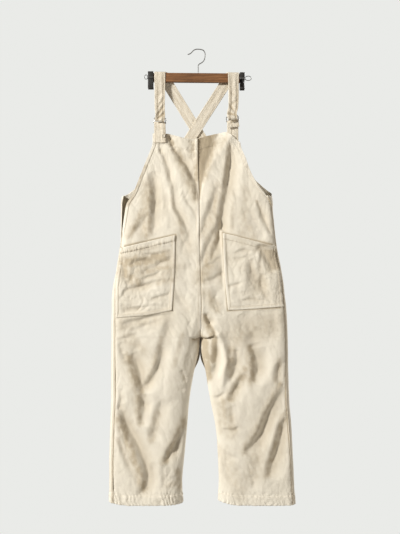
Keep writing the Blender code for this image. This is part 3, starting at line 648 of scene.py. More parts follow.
@dataclass(frozen=True)
class HalfForm:
    """One half: its ring from the front's inner edge round the side to the back's."""

    side: Side

    @property
    def sign(self) -> int:
        """-1 on the left, 1 on the right."""
        return self.side.value

    def inner(self, z: Array) -> Array:
        """Distance of the inner edge from the middle, outwards."""
        edge = self.sign * FORM.value("in_" + self.side.word, z)
        return edge + (CLOTH / 2 + 0.0002) * legness(z)

    def outer(self, z: Array) -> Array:
        """Distance of the side fold from the middle."""
        return self.sign * FORM.value(self.side.word, z)

    def seam_turn(self, z: Array, gap: bool) -> Array:
        """Where on the ring the side seam lies.

        Args:
            z: heights.
            gap: True for the back's edge, which the side opening parts from the front's.

        Returns:
            The turn: 0 inner front, 1 side fold, 2 inner back.
        """
        inset = FORM.value("seam_" + self.side.word, z)
        if gap and self.side is Side.LEFT:
            inset = inset - FORM.value("open_left", z)
        share = 1.0 - inset / (self.outer(z) - self.inner(z))
        return 2.0 / math.pi * np.arcsin(share ** (1.0 / (1.0 + legness(z))))

    def across(self, turn: Array, z: Array) -> Array:
        """Share of the half width at a turn of the ring."""
        return np.sin(math.pi / 2 * turn) ** (1.0 + legness(z))

    def x_at(self, share: Array, z: Array) -> Array:
        """Place across the garment of a share of the half width."""
        return self.sign * (self.inner(z) + (self.outer(z) - self.inner(z)) * share)

    def profile(self, share: Array, z: Array) -> Array:
        """Share of the full depth at a share of the half width.

        Args:
            share: share of the half width.
            z: height.

        Returns:
            The share of the depth.
        """
        out = np.clip((share - SIDE_TURN) / (1.0 - SIDE_TURN), 0.0, 1.0)
        inn = np.clip(1.0 - share / INNER_TURN, 0.0, 1.0)
        centre = centre_share(z)
        rise = centre + (1.0 - centre) * np.sqrt(1.0 - inn * inn)
        return (1.0 - out ** SIDE_FULL) ** (1.0 / SIDE_FULL) * rise

    def ease(self, share: Array, z: Array) -> Array:
        """How much of a crease is kept: none at the side fold and a leg's inner seam."""
        centre = centre_share(z)
        return step(0.0, 0.1, 1.0 - share) * (centre + (1.0 - centre) * step(0.0, 0.12, share))

    def smooth_y(self, face: Face, share: Array, z: Array) -> Array:
        """Depth of the plain form, with no crease."""
        sign = -1.0 if face is Face.FRONT else 1.0
        return sign * FORM.value(face.value, z) * self.profile(share, z)


def hem_drop(side: Side, share: Array, z: Array) -> Array:
    """How far rows near the hem hang lower than at their left end."""
    place = np.clip(0.5 + 0.5 * side.value * (2.0 * share - 1.0), 0.0, 1.0)
    return -HEM_SAG * step(0.0, 0.12, HEM + 0.12 - z) * step(-0.02, 0.26, place)


def levels(stops: Sequence) -> Array:
    """Row heights from (height, step) stops, top to bottom.

    Args:
        stops: (height, step) rows; the step is the one used below that height.

    Returns:
        The heights.
    """
    made = [stops[0][0]]
    for (top, gap), (low, _) in zip(stops, stops[1:]):
        count = max(1, round((top - low) / gap))
        made += [top + (low - top) * (k + 1) / count for k in range(count)]
    return np.array(made)


def new_object(name: str, data: bpy.types.ID) -> Piece:
    """An object at the origin, in the scene.

    Args:
        name: its name.
        data: its mesh, camera or light.

    Returns:
        The object.
    """
    made = bpy.data.objects.new(name, data)
    bpy.context.collection.objects.link(made)
    return made


def mesh_object(name: str, points: Array, faces: Array, material: Finish,
                uv: Array | None = None, marks: dict | None = None) -> Piece:
    """A mesh piece at the origin.

    Args:
        name: the piece's name.
        points: its vertices.
        faces: quads as rows of four vertex numbers.
        material: its finish.
        uv: a place on the cloth for each vertex, in metres.
        marks: float attributes, one value a vertex.

    Returns:
        The new object.
    """
    mesh = bpy.data.meshes.new(name)
    count = len(faces)
    mesh.vertices.add(len(points))
    mesh.vertices.foreach_set("co", np.asarray(points, np.float32).ravel())
    mesh.loops.add(count * 4)
    mesh.loops.foreach_set("vertex_index", np.asarray(faces, np.int32).ravel())
    mesh.polygons.add(count)
    mesh.polygons.foreach_set("loop_start", np.arange(0, count * 4, 4, dtype=np.int32))
    mesh.update(calc_edges=True)
    mesh.shade_smooth()
    if uv is not None:
        layer = mesh.uv_layers.new(name="cloth")
        layer.data.foreach_set("uv", np.asarray(uv, np.float32)[np.asarray(faces).ravel()].ravel())
    for key, values in (marks or {}).items():
        mark = mesh.attributes.new(key, "FLOAT", "POINT")
        mark.data.foreach_set("value", np.asarray(values, np.float32).ravel())
    mesh.materials.append(material)
    mesh.validate()
    return new_object(name, mesh)


def ring_faces(starts: Sequence, sides: int) -> list:
    """Quads that join rings of vertices, each ring given by its first vertex."""
    return [(start + k, start + (k + 1) % sides, after + (k + 1) % sides, after + k)
            for start, after in zip(starts, starts[1:]) for k in range(sides)]


def cap_faces(start: int, sides: int) -> list:
    """Quads across one ring of vertices."""
    return [(start + k, start + k + 1, start + sides - 2 - k, start + sides - 1 - k) for k in range(sides // 2 - 1)]


def turned_round(faces: Sequence) -> list:
    """Faces that look the other way."""
    return [face[::-1] for face in faces]


def rounded(a: float, b: float, r: float, turn: int) -> list:
    """A rectangle's outline with rounded corners.

    Args:
        a: half its first size.
        b: half its second size.
        r: the corners' radius.
        turn: degrees between a corner's points.

    Returns:
        The points, two numbers each.
    """
    made = []
    for x, y, start in ((a - r, b - r, 0), (-a + r, b - r, 90), (-a + r, -b + r, 180), (a - r, -b + r, 270)):
        for more in range(0, 91, turn):
            angle = math.radians(start + more)
            made.append((x + r * math.cos(angle), y + r * math.sin(angle)))
    return made


def settle(piece: Piece, slot: str, *replaced: str) -> None:
    """Ride a piece on the part and hide the nodes that it stands for.

    Args:
        piece: the piece.
        slot: its material slot; not used.
        replaced: names of the nodes.
    """
    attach(piece, "root")
    if replaced:
        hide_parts(*replaced)


@dataclass
class ClothSheet:
    """A grid of cloth: its middle surface, its lie on the cut and its relief."""

    grid: Array
    normal: Array
    thick: Array
    uv: Array
    wear: Array
    # painted shade: how far the colour is darkened where folds, seams and gaps lie in shade
    fold: Array | None = None

    def outer(self) -> Array:
        """The outer face's points."""
        return self.grid + self.normal * self.thick[..., None] / 2

    def side_line(self, away: float, far: bool = False, face: float = 1.0) -> Array:
        """A line down the outer face at a distance from one side.

        Args:
            away: the distance from the side.
            far: True to measure from the last column.
            face: 1 for the outer face, -1 for the inner.

        Returns:
            One point a row.
        """
        shown = self.grid + face * self.normal * (self.thick[..., None] / 2 + 0.0001)
        run = lengths(self.grid, 1)
        if far:
            run, shown = (run[:, -1:] - run)[:, ::-1], shown[:, ::-1]
        return np.array([[np.interp(away, run[r], shown[r, :, k]) for k in range(3)] for r in range(len(run))])

    def end_line(self, away: float, far: bool = False, face: float = 1.0) -> Array:
        """A line across the outer face at a distance from the top, or from the last row.

        Args:
            away: the distance from the end.
            far: True to measure from the last row.
            face: 1 for the outer face, -1 for the inner.

        Returns:
            One point a column.
        """
        grid, normal = (values.transpose(1, 0, 2) for values in (self.grid, self.normal))
        turned = ClothSheet(grid, normal, self.thick.T, self.uv, self.wear)
        return turned.side_line(away, far, face)

    def build(self, name: str, material: Finish) -> Piece:
        """Close the sheet into a wall with a rounded rim.

        Args:
            name: the piece's name.
            material: its finish.

        Returns:
            The new object.
        """
        rows, columns = self.grid.shape[:2]
        half = self.normal * self.thick[..., None] / 2
        rim = [(0, c) for c in range(columns)]
        rim += [(r, columns - 1) for r in range(1, rows)]
        rim += [(rows - 1, c) for c in range(columns - 2, -1, -1)]
        rim += [(r, 0) for r in range(rows - 2, 0, -1)]
        size = rows * columns
        points = [(self.grid + half).reshape(-1, 3), (self.grid - half).reshape(-1, 3)]
        flat = np.array([r * columns + c for r, c in rim])
        inward = []
        for r, c in rim:
            to_r = 1 if r == 0 else (-1 if r == rows - 1 else 0)
            to_c = 1 if c == 0 else (-1 if c == columns - 1 else 0)
            inward.append((r + to_r) * columns + c + to_c)
        middle = self.grid.reshape(-1, 3)
        out = unit(middle[flat] - middle[np.array(inward)])
        bulge = self.thick.reshape(-1)[flat][:, None] * 0.32
        points.append(middle[flat] + out * bulge)
        index = np.arange(size).reshape(rows, columns)
        quads = np.stack([index[:-1, :-1], index[1:, :-1], index[1:, 1:], index[:-1, 1:]], axis=-1).reshape(-1, 4)
        down, over = self.grid[1, 0] - self.grid[0, 0], self.grid[0, 1] - self.grid[0, 0]
        turned = np.dot(np.cross(down, over), self.normal[0, 0]) < 0
        shell = quads[:, ::-1] if turned else quads
        ring = np.arange(len(flat))
        after = np.roll(ring, -1)
        upper = np.stack([flat[ring], flat[after], 2 * size + after, 2 * size + ring], axis=-1)
        lower = np.stack([2 * size + ring, 2 * size + after, size + flat[after], size + flat[ring]], axis=-1)
        sides = np.concatenate([upper, lower])
        if turned:
            sides = sides[:, ::-1]
        faces = np.concatenate([shell, (quads if turned else quads[:, ::-1]) + size, sides])
        uv = self.uv.reshape(-1, 2)
        wear = self.wear.reshape(-1)
        fold = np.zeros(size) if self.fold is None else self.fold.reshape(-1)
        # the fold mark carries the painted shade, the wear mark the rubbed edges
        marks = {"wear": np.concatenate([wear, wear, np.maximum(wear[flat], 0.8)]),
                 "fold": np.concatenate([fold, fold, fold[flat]])}
        return mesh_object(name, np.concatenate(points), faces, material, np.concatenate([uv, uv, uv[flat]]), marks)


def grid_normals(grid: Array, outside: Array) -> Array:
    """Unit normals of a grid, on the side that outside points to."""
    normal = unit(np.cross(np.gradient(grid, axis=1), np.gradient(grid, axis=0)))
    return -normal if np.sum(normal * outside) < 0 else normal


def lengths(grid: Array, axis: int) -> Array:
    """Running length along a grid's rows or columns."""
    gaps = np.linalg.norm(np.diff(grid, axis=axis), axis=-1)
    return np.concatenate([0 * gaps.take([0], axis=axis), np.cumsum(gaps, axis=axis)], axis=axis)


def puckers(along: Array, away: Array, pitch: float, height: float, reach: float, seed: int) -> Array:
    """Uneven little waves across a sewn line.

    Args:
        along: place along the line.
        away: distance from it.
        pitch: about one wave's length.
        height: the waves' height.
        reach: how far from the line they fade.
        seed: which pattern.

    Returns:
        The waves' height at each point.
    """
    drift = 0.9 * lattice(along / (pitch * 2.6), away / 0.02, seed)
    swell = 0.65 + 0.55 * lattice(along / (pitch * 3.3), away / 0.03, seed + 1)
    return height * swell * np.sin(2 * math.pi * (along / pitch + drift)) * np.exp(-away / reach)


def band(away: Array, width: float, height: float) -> Array:
    """A folded band beside an edge: raised, with a sunk line of sewing at its inner side."""
    raised = height * (1.0 - step(width - 0.0006, width + 0.0014, away))
    return raised - 0.9 * height * bell(away - width - 0.0003, 0.0013)


def sharp_lines(a: Array, z: Array, seed: int) -> Array:
    """Thin uneven crease lines, 0 to 1, one cell apart."""
    return np.maximum(1.0 - 2.6 * np.abs(lattice(a, z, seed)), 0.0) ** 2


def crumple(a: Array, z: Array, seed: int) -> Array:
    """The cloth's small uneven wrinkles, most of them slanting down one way or the other.

    Args:
        a: place across the cloth.
        z: height.
        seed: which pattern.

    Returns:
        The wrinkles' height.
    """
    warp = 0.6 * lattice(a / 0.06, z / 0.08, seed)
    left, right = a * 0.92 + z * 0.39, a * 0.92 - z * 0.39
    down_left, down_right = z * 0.92 - a * 0.39, z * 0.92 + a * 0.39
    choose = step(-0.35, 0.35, lattice(a / 0.11, z / 0.14, seed + 1))
    big = 0.0024 * lattice(a / 0.062 + warp, z / 0.115 + warp, seed + 2)
    one = sharp_lines(left / 0.03 + warp, down_left / 0.075, seed + 3)
    two = sharp_lines(right / 0.026 - warp, down_right / 0.07, seed + 4)
    swell = 0.45 + 0.75 * lattice(a / 0.07, z / 0.07, seed + 5)
    lines = -0.0012 * (one * choose + two * (1.0 - choose)) * np.clip(swell, 0.0, 1.2)
    small = 0.0005 * lattice(left / 0.014 + warp, z / 0.026, seed + 6)
    small = small - 0.00045 * sharp_lines(right / 0.013, z / 0.024 + warp, seed + 7)
    fine = 0.00016 * lattice(a / 0.0065, z / 0.01, seed + 8)
    worked = 1.0 + 0.45 * bell(z + 0.76, 0.11)
    return worked * (big + lines + small + fine)


LEFT_POCKET_CREASES = lay(
    ((-138, -656, -177, -653.5, -195, -657, -214, -668), 75, 42),
    ((-84, -645, -130, -668, -170, -690), 90, 36),
    ((-100, -628, -140, -636, -176, -634), 60, 24),
    ((-120, -684, -142, -700, -176, -712), 65, 30),
    ((-112, -712, -162, -727.6, -190, -735, -220, -743, -243, -772), 80, 46),
    ((-91, -752, -120, -764, -155, -775), 70, 30),
    ((-238, -645, -230, -685, -222, -726), 100, 40),
    ((-196, -668, -206, -700, -226, -740), 80, 30),
    ((-120, -790, -180, -798, -236, -806), 80, 30),
)
RIGHT_POCKET_CREASES = lay(
    ((176, -604, 196, -628, 213, -656, 221, -690), 160, 90),
    ((156, -625, 132, -622, 104, -632), 60, 30),
    ((150, -640, 128, -648, 104, -650), 65, 22),
    ((127, -721, 105, -728, 86, -735), 60, 34),
    ((150, -650, 168, -700, 176, -760), 200, 48),
    ((190, -690, 188, -730, 204, -770), 85, 40),
    ((166, -716, 186, -724, 206, -742), 60, 26),
    ((196, -622, 186, -655, 184, -690), 90, 34),
    ((200, -776, 150, -772, 110, -780), 65, 24),
)
POCKET_TOPS = {
    Side.LEFT: ((-0.076, -0.576), (-0.118, -0.5862), (-0.159, -0.596), (-0.2385, -0.615)),
    Side.RIGHT: ((0.07, -0.57), (0.105, -0.578), (0.137, -0.5865), (0.229, -0.611)),
}
POCKET_FEET = {
    Side.LEFT: ((-0.086, -0.804), (-0.128, -0.813), (-0.17, -0.82), (-0.255, -0.827)),
    Side.RIGHT: ((0.086, -0.803), (0.126, -0.802), (0.168, -0.799), (0.251, -0.793)),
}


def pocket_depth_inside(side: Side, x: Array, z: Array) -> Array:
    """How far a place lies inside a pocket's outline, below 0 outside it.

    Args:
        side: which pocket.
        x: across the garment.
        z: height.

    Returns:
        The distance in metres.
    """
    top, foot, sign = POCKET_TOPS[side], POCKET_FEET[side], side.value
    corners = [top[0], top[-1], foot[-1], foot[0]]
    corners[1] = (corners[1][0] + sign * 0.02, corners[1][1] - 0.003)
    corners[2] = (corners[2][0] + sign * 0.02, corners[2][1])
    inside = np.full(np.broadcast(x, z).shape, 1e9)
    for (x0, z0), (x1, z1) in zip(corners, corners[1:] + corners[:1]):
        dx, dz = x1 - x0, z1 - z0
        inside = np.minimum(inside, ((z - z0) * dx - (x - x0) * dz) / math.hypot(dx, dz) * -sign)
    return inside


def pocket_relief(side: Side, x: Array, z: Array) -> Array:
    """Creases and wrinkles that a pocket and the cloth under it share.

    Args:
        side: which pocket.
        x: across the garment.
        z: height.

    Returns:
        The relief, outwards.
    """
    creases = LEFT_POCKET_CREASES if side is Side.LEFT else RIGHT_POCKET_CREASES
    dent = CreaseField(creases, seed=7).depth(x, z)
    inside = pocket_depth_inside(side, x, z)
    return step(0.001, 0.012, inside) * (1.1 * crumple(x, z, 90) - dent)


@dataclass
class Panel:
    """One cut panel, from its top edge to its hem."""

    side: Side
    face: Face
    columns: int
    flat: tuple
    area: float
    material: Finish

    @property
    def name(self) -> str:
        """The panel's node name."""
        return f"{self.face.value}_{self.side.word}"

    def _rows(self) -> Array:
        """Row heights, closer at edges, crotch and hem."""
        low = [(SIDE_TOP - 0.012, 0.003), (-0.79, 0.0024), (-0.905, 0.003), (HEM + 0.04, 0.0022), (HEM, 1.0)]
        if self.face is Face.FRONT:
            return levels([(BIB_TOP, 0.0016), (BIB_TOP - 0.012, 0.003)] + low)
        return levels([(SIDE_TOP, 0.0016)] + low)

    def _turns(self) -> Array:
        """Column shares, closer at both edges and at their sewn lines."""
        ends = np.array([0.0, 0.0028, 0.0065, 0.011, 0.0165, 0.0225, 0.0285, 0.0335, 0.0375, 0.0415, 0.046, 0.052])
        middle = np.linspace(0.06, 0.94, self.columns - 2 * len(ends) + 1)
        return np.concatenate([ends, middle, 1.0 - ends[::-1]])

    def sheet(self) -> ClothSheet:
        """Lay the panel out with all of its relief."""
        half = HalfForm(self.side)
        row = self._rows()[:, None]
        share_in = self._turns()[None, :]
        front = self.face is Face.FRONT
        if front:
            turn = half.seam_turn(row, False) * share_in
        else:
            start = half.seam_turn(row, True)
            turn = start + (2.0 - start) * share_in
        share = half.across(turn, row)
        x = half.x_at(share, row)
        on_front = turn < 1.0
        y = np.where(on_front, half.smooth_y(Face.FRONT, share, row), half.smooth_y(Face.BACK, share, row))
        if front:
            lift = (read_line(BIB_EDGE, x) - BIB_TOP) * step(FRONT_FIT, BIB_TOP, row)
            z = row + lift + hem_drop(self.side, share, row)
        else:
            lift = (read_line(BACK_EDGE, np.abs(x)) - SIDE_TOP) * step(BACK_FIT, SIDE_TOP, row)
            z = row + lift * (turn > 1.0) + hem_drop(self.side, share, row)
        base = np.stack([x, y, z], axis=-1)
        normal = self._edge_normals(base, half)
        across, down = lengths(base, 1), lengths(base, 0)
        whole, tall = across[:, -1:], down[-1:, :]
        if front:
            place = half.sign * (half.inner(row) + across)
        else:
            place = half.sign * (half.outer(row) + 0.02 + across)
        keep = half.ease(share, row)
        dent = keep * np.where(on_front, FRONT_FIELD.depth(x, z), BACK_FIELD.depth(x, z))
        clear = self._under_pocket(x, z)
        dent = dent * clear
        inner_away = across if front else whole - across
        # painted shade: the cloth's colour is darkened in crease troughs, along the shade strokes, under the crotch
        # ledge and on the bib's fallen side
        mark = 0.5 * np.clip(dent / 0.009, 0.0, 1.0)
        if front:
            mark = np.maximum(mark, soiling(x, z))
            dent = dent - CROTCH_LEDGE.height(x, z) * np.where(row < CROTCH, step(0.0, 0.05, share), 1.0)
            mark = np.maximum(mark, CROTCH_LEDGE.shade(x, z))
            if self.side is Side.RIGHT:
                hollow = BIB_HOLLOW.depth(x - half.sign * half.inner(row), z)
                dent = dent + hollow
                mark = np.maximum(mark, 0.95 * BIB_HOLLOW.shade(x - half.sign * half.inner(row), z))
        else:
            # painted shadow: the back's inner side is darkened where it hangs into the crotch, near-black in the gap
            # between the legs
            hang = step(-CROTCH - 0.004, -CROTCH + 0.006, -row) * (1.0 - step(-CROTCH + 0.11, -CROTCH + 0.14, -row))
            mark = np.maximum(mark, 1.3 * hang * bell(inner_away, 0.032))
        seam_away = whole - across if front else across
        wrinkles = crumple(place, z, 20 if front else 40)
        wrinkles = wrinkles * (0.35 + 0.65 * keep) * step(0.0, 0.012, inner_away)
        relief = wrinkles * clear - dent
        if front:
            inside = pocket_depth_inside(self.side, x, z)
            relief = relief + np.where(clear < 0.5, pocket_relief(self.side, x, z), 0.0)
            relief = relief - POCKET_SINK * step(-0.0028, -0.0004, inside)
        edges, thick = self._edges(inner_away, seam_away, down, tall - down, place, z, row)
        relief = relief + edges
        mark = np.maximum(mark, self._marks(inner_away, seam_away, tall - down, edges, x, z, row))
        made = base + normal * relief[..., None]
        if not front:  # the back's seam hangs over the crotch
            tongue = hang * bell(inner_away - 0.02, 0.012) * step(0.0, 0.008, inner_away)
            reach = 0.0005 + (half.inner(row) - 0.0005) * step(-CROTCH + 0.05, -CROTCH + 0.11, -row)
            made[..., 0] += tongue * (half.sign * reach - made[..., 0])
        made = self._set_back(made, row)
        wear = np.exp(-np.minimum(down, np.minimum(tall - down, np.minimum(across, whole - across))) / 0.004)
        uv = np.stack([np.broadcast_to(place, x.shape), z], axis=-1)
        return ClothSheet(made, normal, thick, uv, wear, mark)

    def _sealed(self, row: Array, whole: float) -> Array:
        """1 where the side seam is sewn shut, 0 along the left's opening, which ends above whole."""
        start, end = (SIDE_OPENING - 0.01, whole) if self.side is Side.LEFT else (0.0, 0.012)
        return step(-SIDE_TOP + start, -SIDE_TOP + end, -row)

    def _marks(self, inner: Array, seam: Array, low: Array, edges: Array, x: Array, z: Array, row: Array) -> Array:
        """Painted shade along the sewn lines: shadows beside the seams and the pocket's edge, and in the hem's
        puckers.

        Args:
            inner: distance from the inner edge.
            seam: distance from the side seam or armhole.
            low: distance from the hem.
            edges: the relief of the edges.
            x: places across the garment.
            z: heights of the points.
            row: heights of the rows.

        Returns:
            The painted shade, 0 to 1.
        """
        sealed = self._sealed(row, SIDE_OPENING + 0.015)
        mark = sealed * bell(seam, 0.0017)
        body = 1.0 - step(-CROTCH - 0.02, -CROTCH, -row)
        if self.face is Face.BACK:
            mark = np.maximum(mark, 0.8 * sealed * bell(seam - FELL, 0.0016))
        elif self.side is Side.RIGHT:
            mark = np.maximum(mark, body * bell(inner, 0.0022))
        else:
            mark = np.maximum(mark, 0.35 * body * bell(inner - SEWN_EDGE, 0.0014))
        if self.face is Face.FRONT:
            inside = pocket_depth_inside(self.side, x, z)
            mark = np.maximum(mark, bell(inside + 0.0018, 0.003) * (seam > 0.012))
            mark = np.maximum(mark, 0.3 * (1.0 - sealed) * bell(seam - 0.0095, 0.0014))
        hem = fade(low - HEM_HEIGHT, 0.01)
        return np.maximum(mark, 0.9 * hem * step(0.0007, 0.003, -edges) * (low < HEM_HEIGHT + 0.02))

    def _inwards(self, z: Array) -> Array:
        """The way from the inner edge into the panel: sideways in the body, off the inseam in a leg."""
        into = -1.0 if self.face is Face.FRONT else 1.0
        return np.where(centre_share(z) < 0.02, [0.0, into, 0.0], [float(self.side.value), 0.0, 0.0])

    def _edge_normals(self, base: Array, half: HalfForm) -> Array:
        """Normals of the plain form, square to the inner seam at the panel's inner edge.

        Args:
            base: the plain form's points.
            half: the form of this half.

        Returns:
            The unit normals, outwards.
        """
        over, down = np.gradient(base, axis=1), np.gradient(base, axis=0)
        column = 0 if self.face is Face.FRONT else -1
        way = self._inwards(base[:, column, 2:])
        over[:, column] = way if self.face is Face.FRONT else -way
        normal = unit(np.cross(over, down))
        middle = half.sign * (half.inner(base[..., 2]) + half.outer(base[..., 2])) / 2
        outside = base - np.stack([middle, 0 * middle, base[..., 2]], axis=-1)
        if self.face is Face.FRONT:
            outside = np.array([0.0, -1.0, 0.0])
        return -normal if np.sum(normal * outside) < 0 else normal

    def _set_back(self, grid: Array, row: Array) -> Array:
        """Draw both side edges back from their seams by half of the gap.

        Args:
            grid: the panel's points.
            row: heights of the rows.

        Returns:
            The moved points.
        """
        made = grid.copy()
        column, other, beside = (0, -1, -2) if self.face is Face.FRONT else (-1, 0, 1)
        made[:, column] += SEAM_SET_BACK * self._inwards(row)
        made[:, other] += SEAM_SET_BACK * unit(grid[:, beside] - grid[:, other])
        return made

    def _under_pocket(self, x: Array, z: Array) -> Array:
        """0 under a pocket and 1 from a little outside it.

        Args:
            x: across the garment.
            z: height.

        Returns:
            The share.
        """
        if self.face is Face.BACK:
            return np.ones(x.shape)
        return 1.0 - step(-0.012, -0.001, pocket_depth_inside(self.side, x, z))

    def _edges(self, inner: Array, seam: Array, top: Array, low: Array,
               place: Array, z: Array, row: Array) -> tuple:
        """Relief and thickness of seams, hems and turned edges.

        Args:
            inner: distance from the inner edge.
            seam: distance from the side seam or armhole.
            top: distance from the top edge.
            low: distance from the hem.
            place: running place round the garment.
            z: heights of the points.
            row: heights of the rows.

        Returns:
            The relief outwards and the cloth's thickness.
        """
        shape = z.shape
        relief = np.zeros(shape)
        thick = np.full(shape, CLOTH)
        sewn = self.face is Face.BACK or self.side is Side.LEFT
        # centre seam
        centre = band(inner, SEWN_EDGE, 0.0008) if sewn else band(inner, 0.0022, 0.0003)
        relief += centre * step(-CROTCH - 0.25, -CROTCH - 0.31, -row)
        top_part = 1.0 + 0.7 * step(FRONT_FIT, -0.3, z) if self.face is Face.FRONT else 1.0
        relief += puckers(z, inner, 0.0105, 0.00055, 0.009, 51) * top_part
        relief -= (0.0022 if self.side is Side.RIGHT else 0.0008) * bell(inner, 0.0024)
        # side seam, and the turned edge of armhole and opening
        sealed = self._sealed(row, SIDE_OPENING + 0.025)
        wide = FELL if self.face is Face.BACK else 0.0024
        relief += band(seam, wide, 0.0007) * sealed
        relief += puckers(z, seam, 0.0095, 0.00065, 0.009, 61) * (0.3 + 0.7 * sealed)
        relief -= 0.0013 * bell(seam, 0.002) * sealed
        free = 1.0 - sealed
        relief += band(seam, 0.0095, 0.0006) * free
        thick += 0.0011 * free * (1.0 - step(0.0088, 0.0105, seam))
        # top edge
        deep = FRONT_FACING if self.face is Face.FRONT else BACK_FACING
        relief += band(top, deep, 0.0006)
        relief += puckers(place, np.abs(top - deep), 0.012, 0.0004, 0.008, 71)
        relief += puckers(place, top, 0.014, 0.00035, 0.006, 73)
        thick += 0.0011 * (1.0 - step(deep - 0.001, deep + 0.001, top))
        # hem
        relief += band(low, HEM_HEIGHT, 0.0008)
        slant = place + 0.3 * low
        relief += puckers(slant, np.abs(low - HEM_HEIGHT), 0.0134, 0.0015, 0.01, 81)
        relief += puckers(slant, low, 0.0134, 0.002, 0.022, 81)
        thick += 0.0012 * (1.0 - step(HEM_HEIGHT - 0.001, HEM_HEIGHT + 0.001, low))
        return relief, thick

    def build(self) -> ClothSheet:
        """Make the panel's piece and return its sheet."""
        sheet = self.sheet()
        piece = sheet.build(self.name + "_cloth", self.material)
        settle(piece, "cord", self.name)
        "strap_" + self.side.word
        LOG.info("%s: %d faces", piece.name, len(piece.data.polygons))
        return sheet


@dataclass
class Pocket:
    """A patch pocket on the front."""

    side: Side
    mouth: float
    flat: tuple
    material: Finish
    columns: int = 84
    rows: int = 110

    def sheet(self) -> ClothSheet:
        """The front's points moved out, with the pocket's own creases."""
        half = HalfForm(self.side)
        across = np.linspace(0.0, 1.0, self.columns + 1)[None, :]
        down = np.linspace(0.0, 1.0, self.rows + 1)[:, None]
        top, foot = POCKET_TOPS[self.side], POCKET_FEET[self.side]
        edges = [sorted(edge) for edge in (top, foot)]
        (x0, z0), (x1, z1) = top[0], foot[0]
        bow = 0.003 * np.sin(math.pi * down)
        z = z0 + (z1 - z0) * down + 0.0 * across
        for _ in range(4):
            width = half.outer(z) - half.inner(z)
            begin = (half.sign * (x0 + (x1 - x0) * down) - bow - half.inner(z)) / width
            begin = 2.0 / math.pi * np.arcsin(begin ** (1.0 / (1.0 + legness(z))))
            turn = begin + (half.seam_turn(z, False) - 0.012 - begin) * across
            share = half.across(turn, z)
            x = half.x_at(share, z)
            high, low = [read_line(edge, x) for edge in edges]
            z = high + (low - high) * down
        base = np.stack([x, half.smooth_y(Face.FRONT, share, z), z], axis=-1)
        normal = grid_normals(base, np.array([0.0, -1.0, 0.0]))
        s, d = lengths(base, 1), lengths(base, 0)
        s_far, d_far = s[:, -1:] - s, d[-1:, :] - d
        sewn = np.minimum(np.minimum(s, s_far), d_far)
        place = half.sign * (half.inner(z) + s)
        swell = np.sin(math.pi * across) ** 0.8 * np.exp(-d / 0.055)
        relief = self.mouth * swell + 0.001 * step(0.0, 0.05, sewn)
        relief += band(np.minimum(s, s_far), SEWN_EDGE, 0.0006) + band(d_far, SEWN_EDGE, 0.0006)
        relief += band(d, 0.017, 0.0008)
        relief += puckers(z, np.minimum(s, s_far), 0.0085, 0.00045, 0.008, 91)
        relief += puckers(place, d_far, 0.009, 0.0005, 0.008, 93)
        gathered = 0.0013 if self.side is Side.LEFT else 0.0005
        relief += puckers(place, np.abs(d - 0.014), MOUTH_PITCH, gathered, 0.009, 95)
        thick = CLOTH + 0.001 * (1.0 - step(0.0165, 0.018, d)) + 0.0005 * (1.0 - step(0.008, 0.0095, sewn))
        off = 0.5 * (CLOTH + thick) + 0.0004 - POCKET_SINK + np.maximum(relief, 0.0)
        shared = pocket_relief(self.side, x, z)
        off = off + shared
        wear = np.exp(-np.minimum(sewn, d) / 0.004)
        # painted shade: the pocket's crease troughs, the shade strokes, its sewn lines and the puckers under its
        # mouth
        mark = np.maximum(0.5 * np.clip(-shared / 0.006, 0.0, 1.0), soiling(x, z))
        mark = np.maximum(mark, 0.5 * bell(sewn - SEWN_EDGE, 0.0014))
        waves = puckers(place, 0.0 * d, MOUTH_PITCH, 0.0013, 0.009, 95)
        line = 0.8 * bell(d - 0.0165, 0.006) * step(0.0004, -0.0012, waves)
        mark = np.maximum(mark, line if self.side is Side.LEFT else 0.4 * bell(d - 0.017, 0.0012))
        # painted shade inside the right pocket's gaping corner
        if self.side is Side.RIGHT:
            gape_shade = step(0.0, 0.008, x - 0.184 + (z + 0.617) * 0.45) * step(-0.69, -0.676, z) * step(0.616, 0.622, -z)
            mark = np.maximum(mark, 0.75 * gape_shade)
        uv = np.stack([place, z], axis=-1)
        return ClothSheet(base + normal * off[..., None], normal, thick, uv, wear, mark)

    def build(self) -> ClothSheet:
        """Make the pocket's piece and return its sheet."""
        sheet = self.sheet()
        name = "pocket_" + self.side.word
        piece = sheet.build(name + "_cloth", self.material)
        settle(piece, "cord", name)
        "front_" + self.side.word
        LOG.info("%s: %d faces", piece.name, len(piece.data.polygons))
        return sheet


# Finishes


def set_values(node: bpy.types.Node, *rows: tuple) -> None:
    """Set a node's own sockets from (name, value) rows."""
    for name, value in rows:
        node.inputs[name].default_value = value


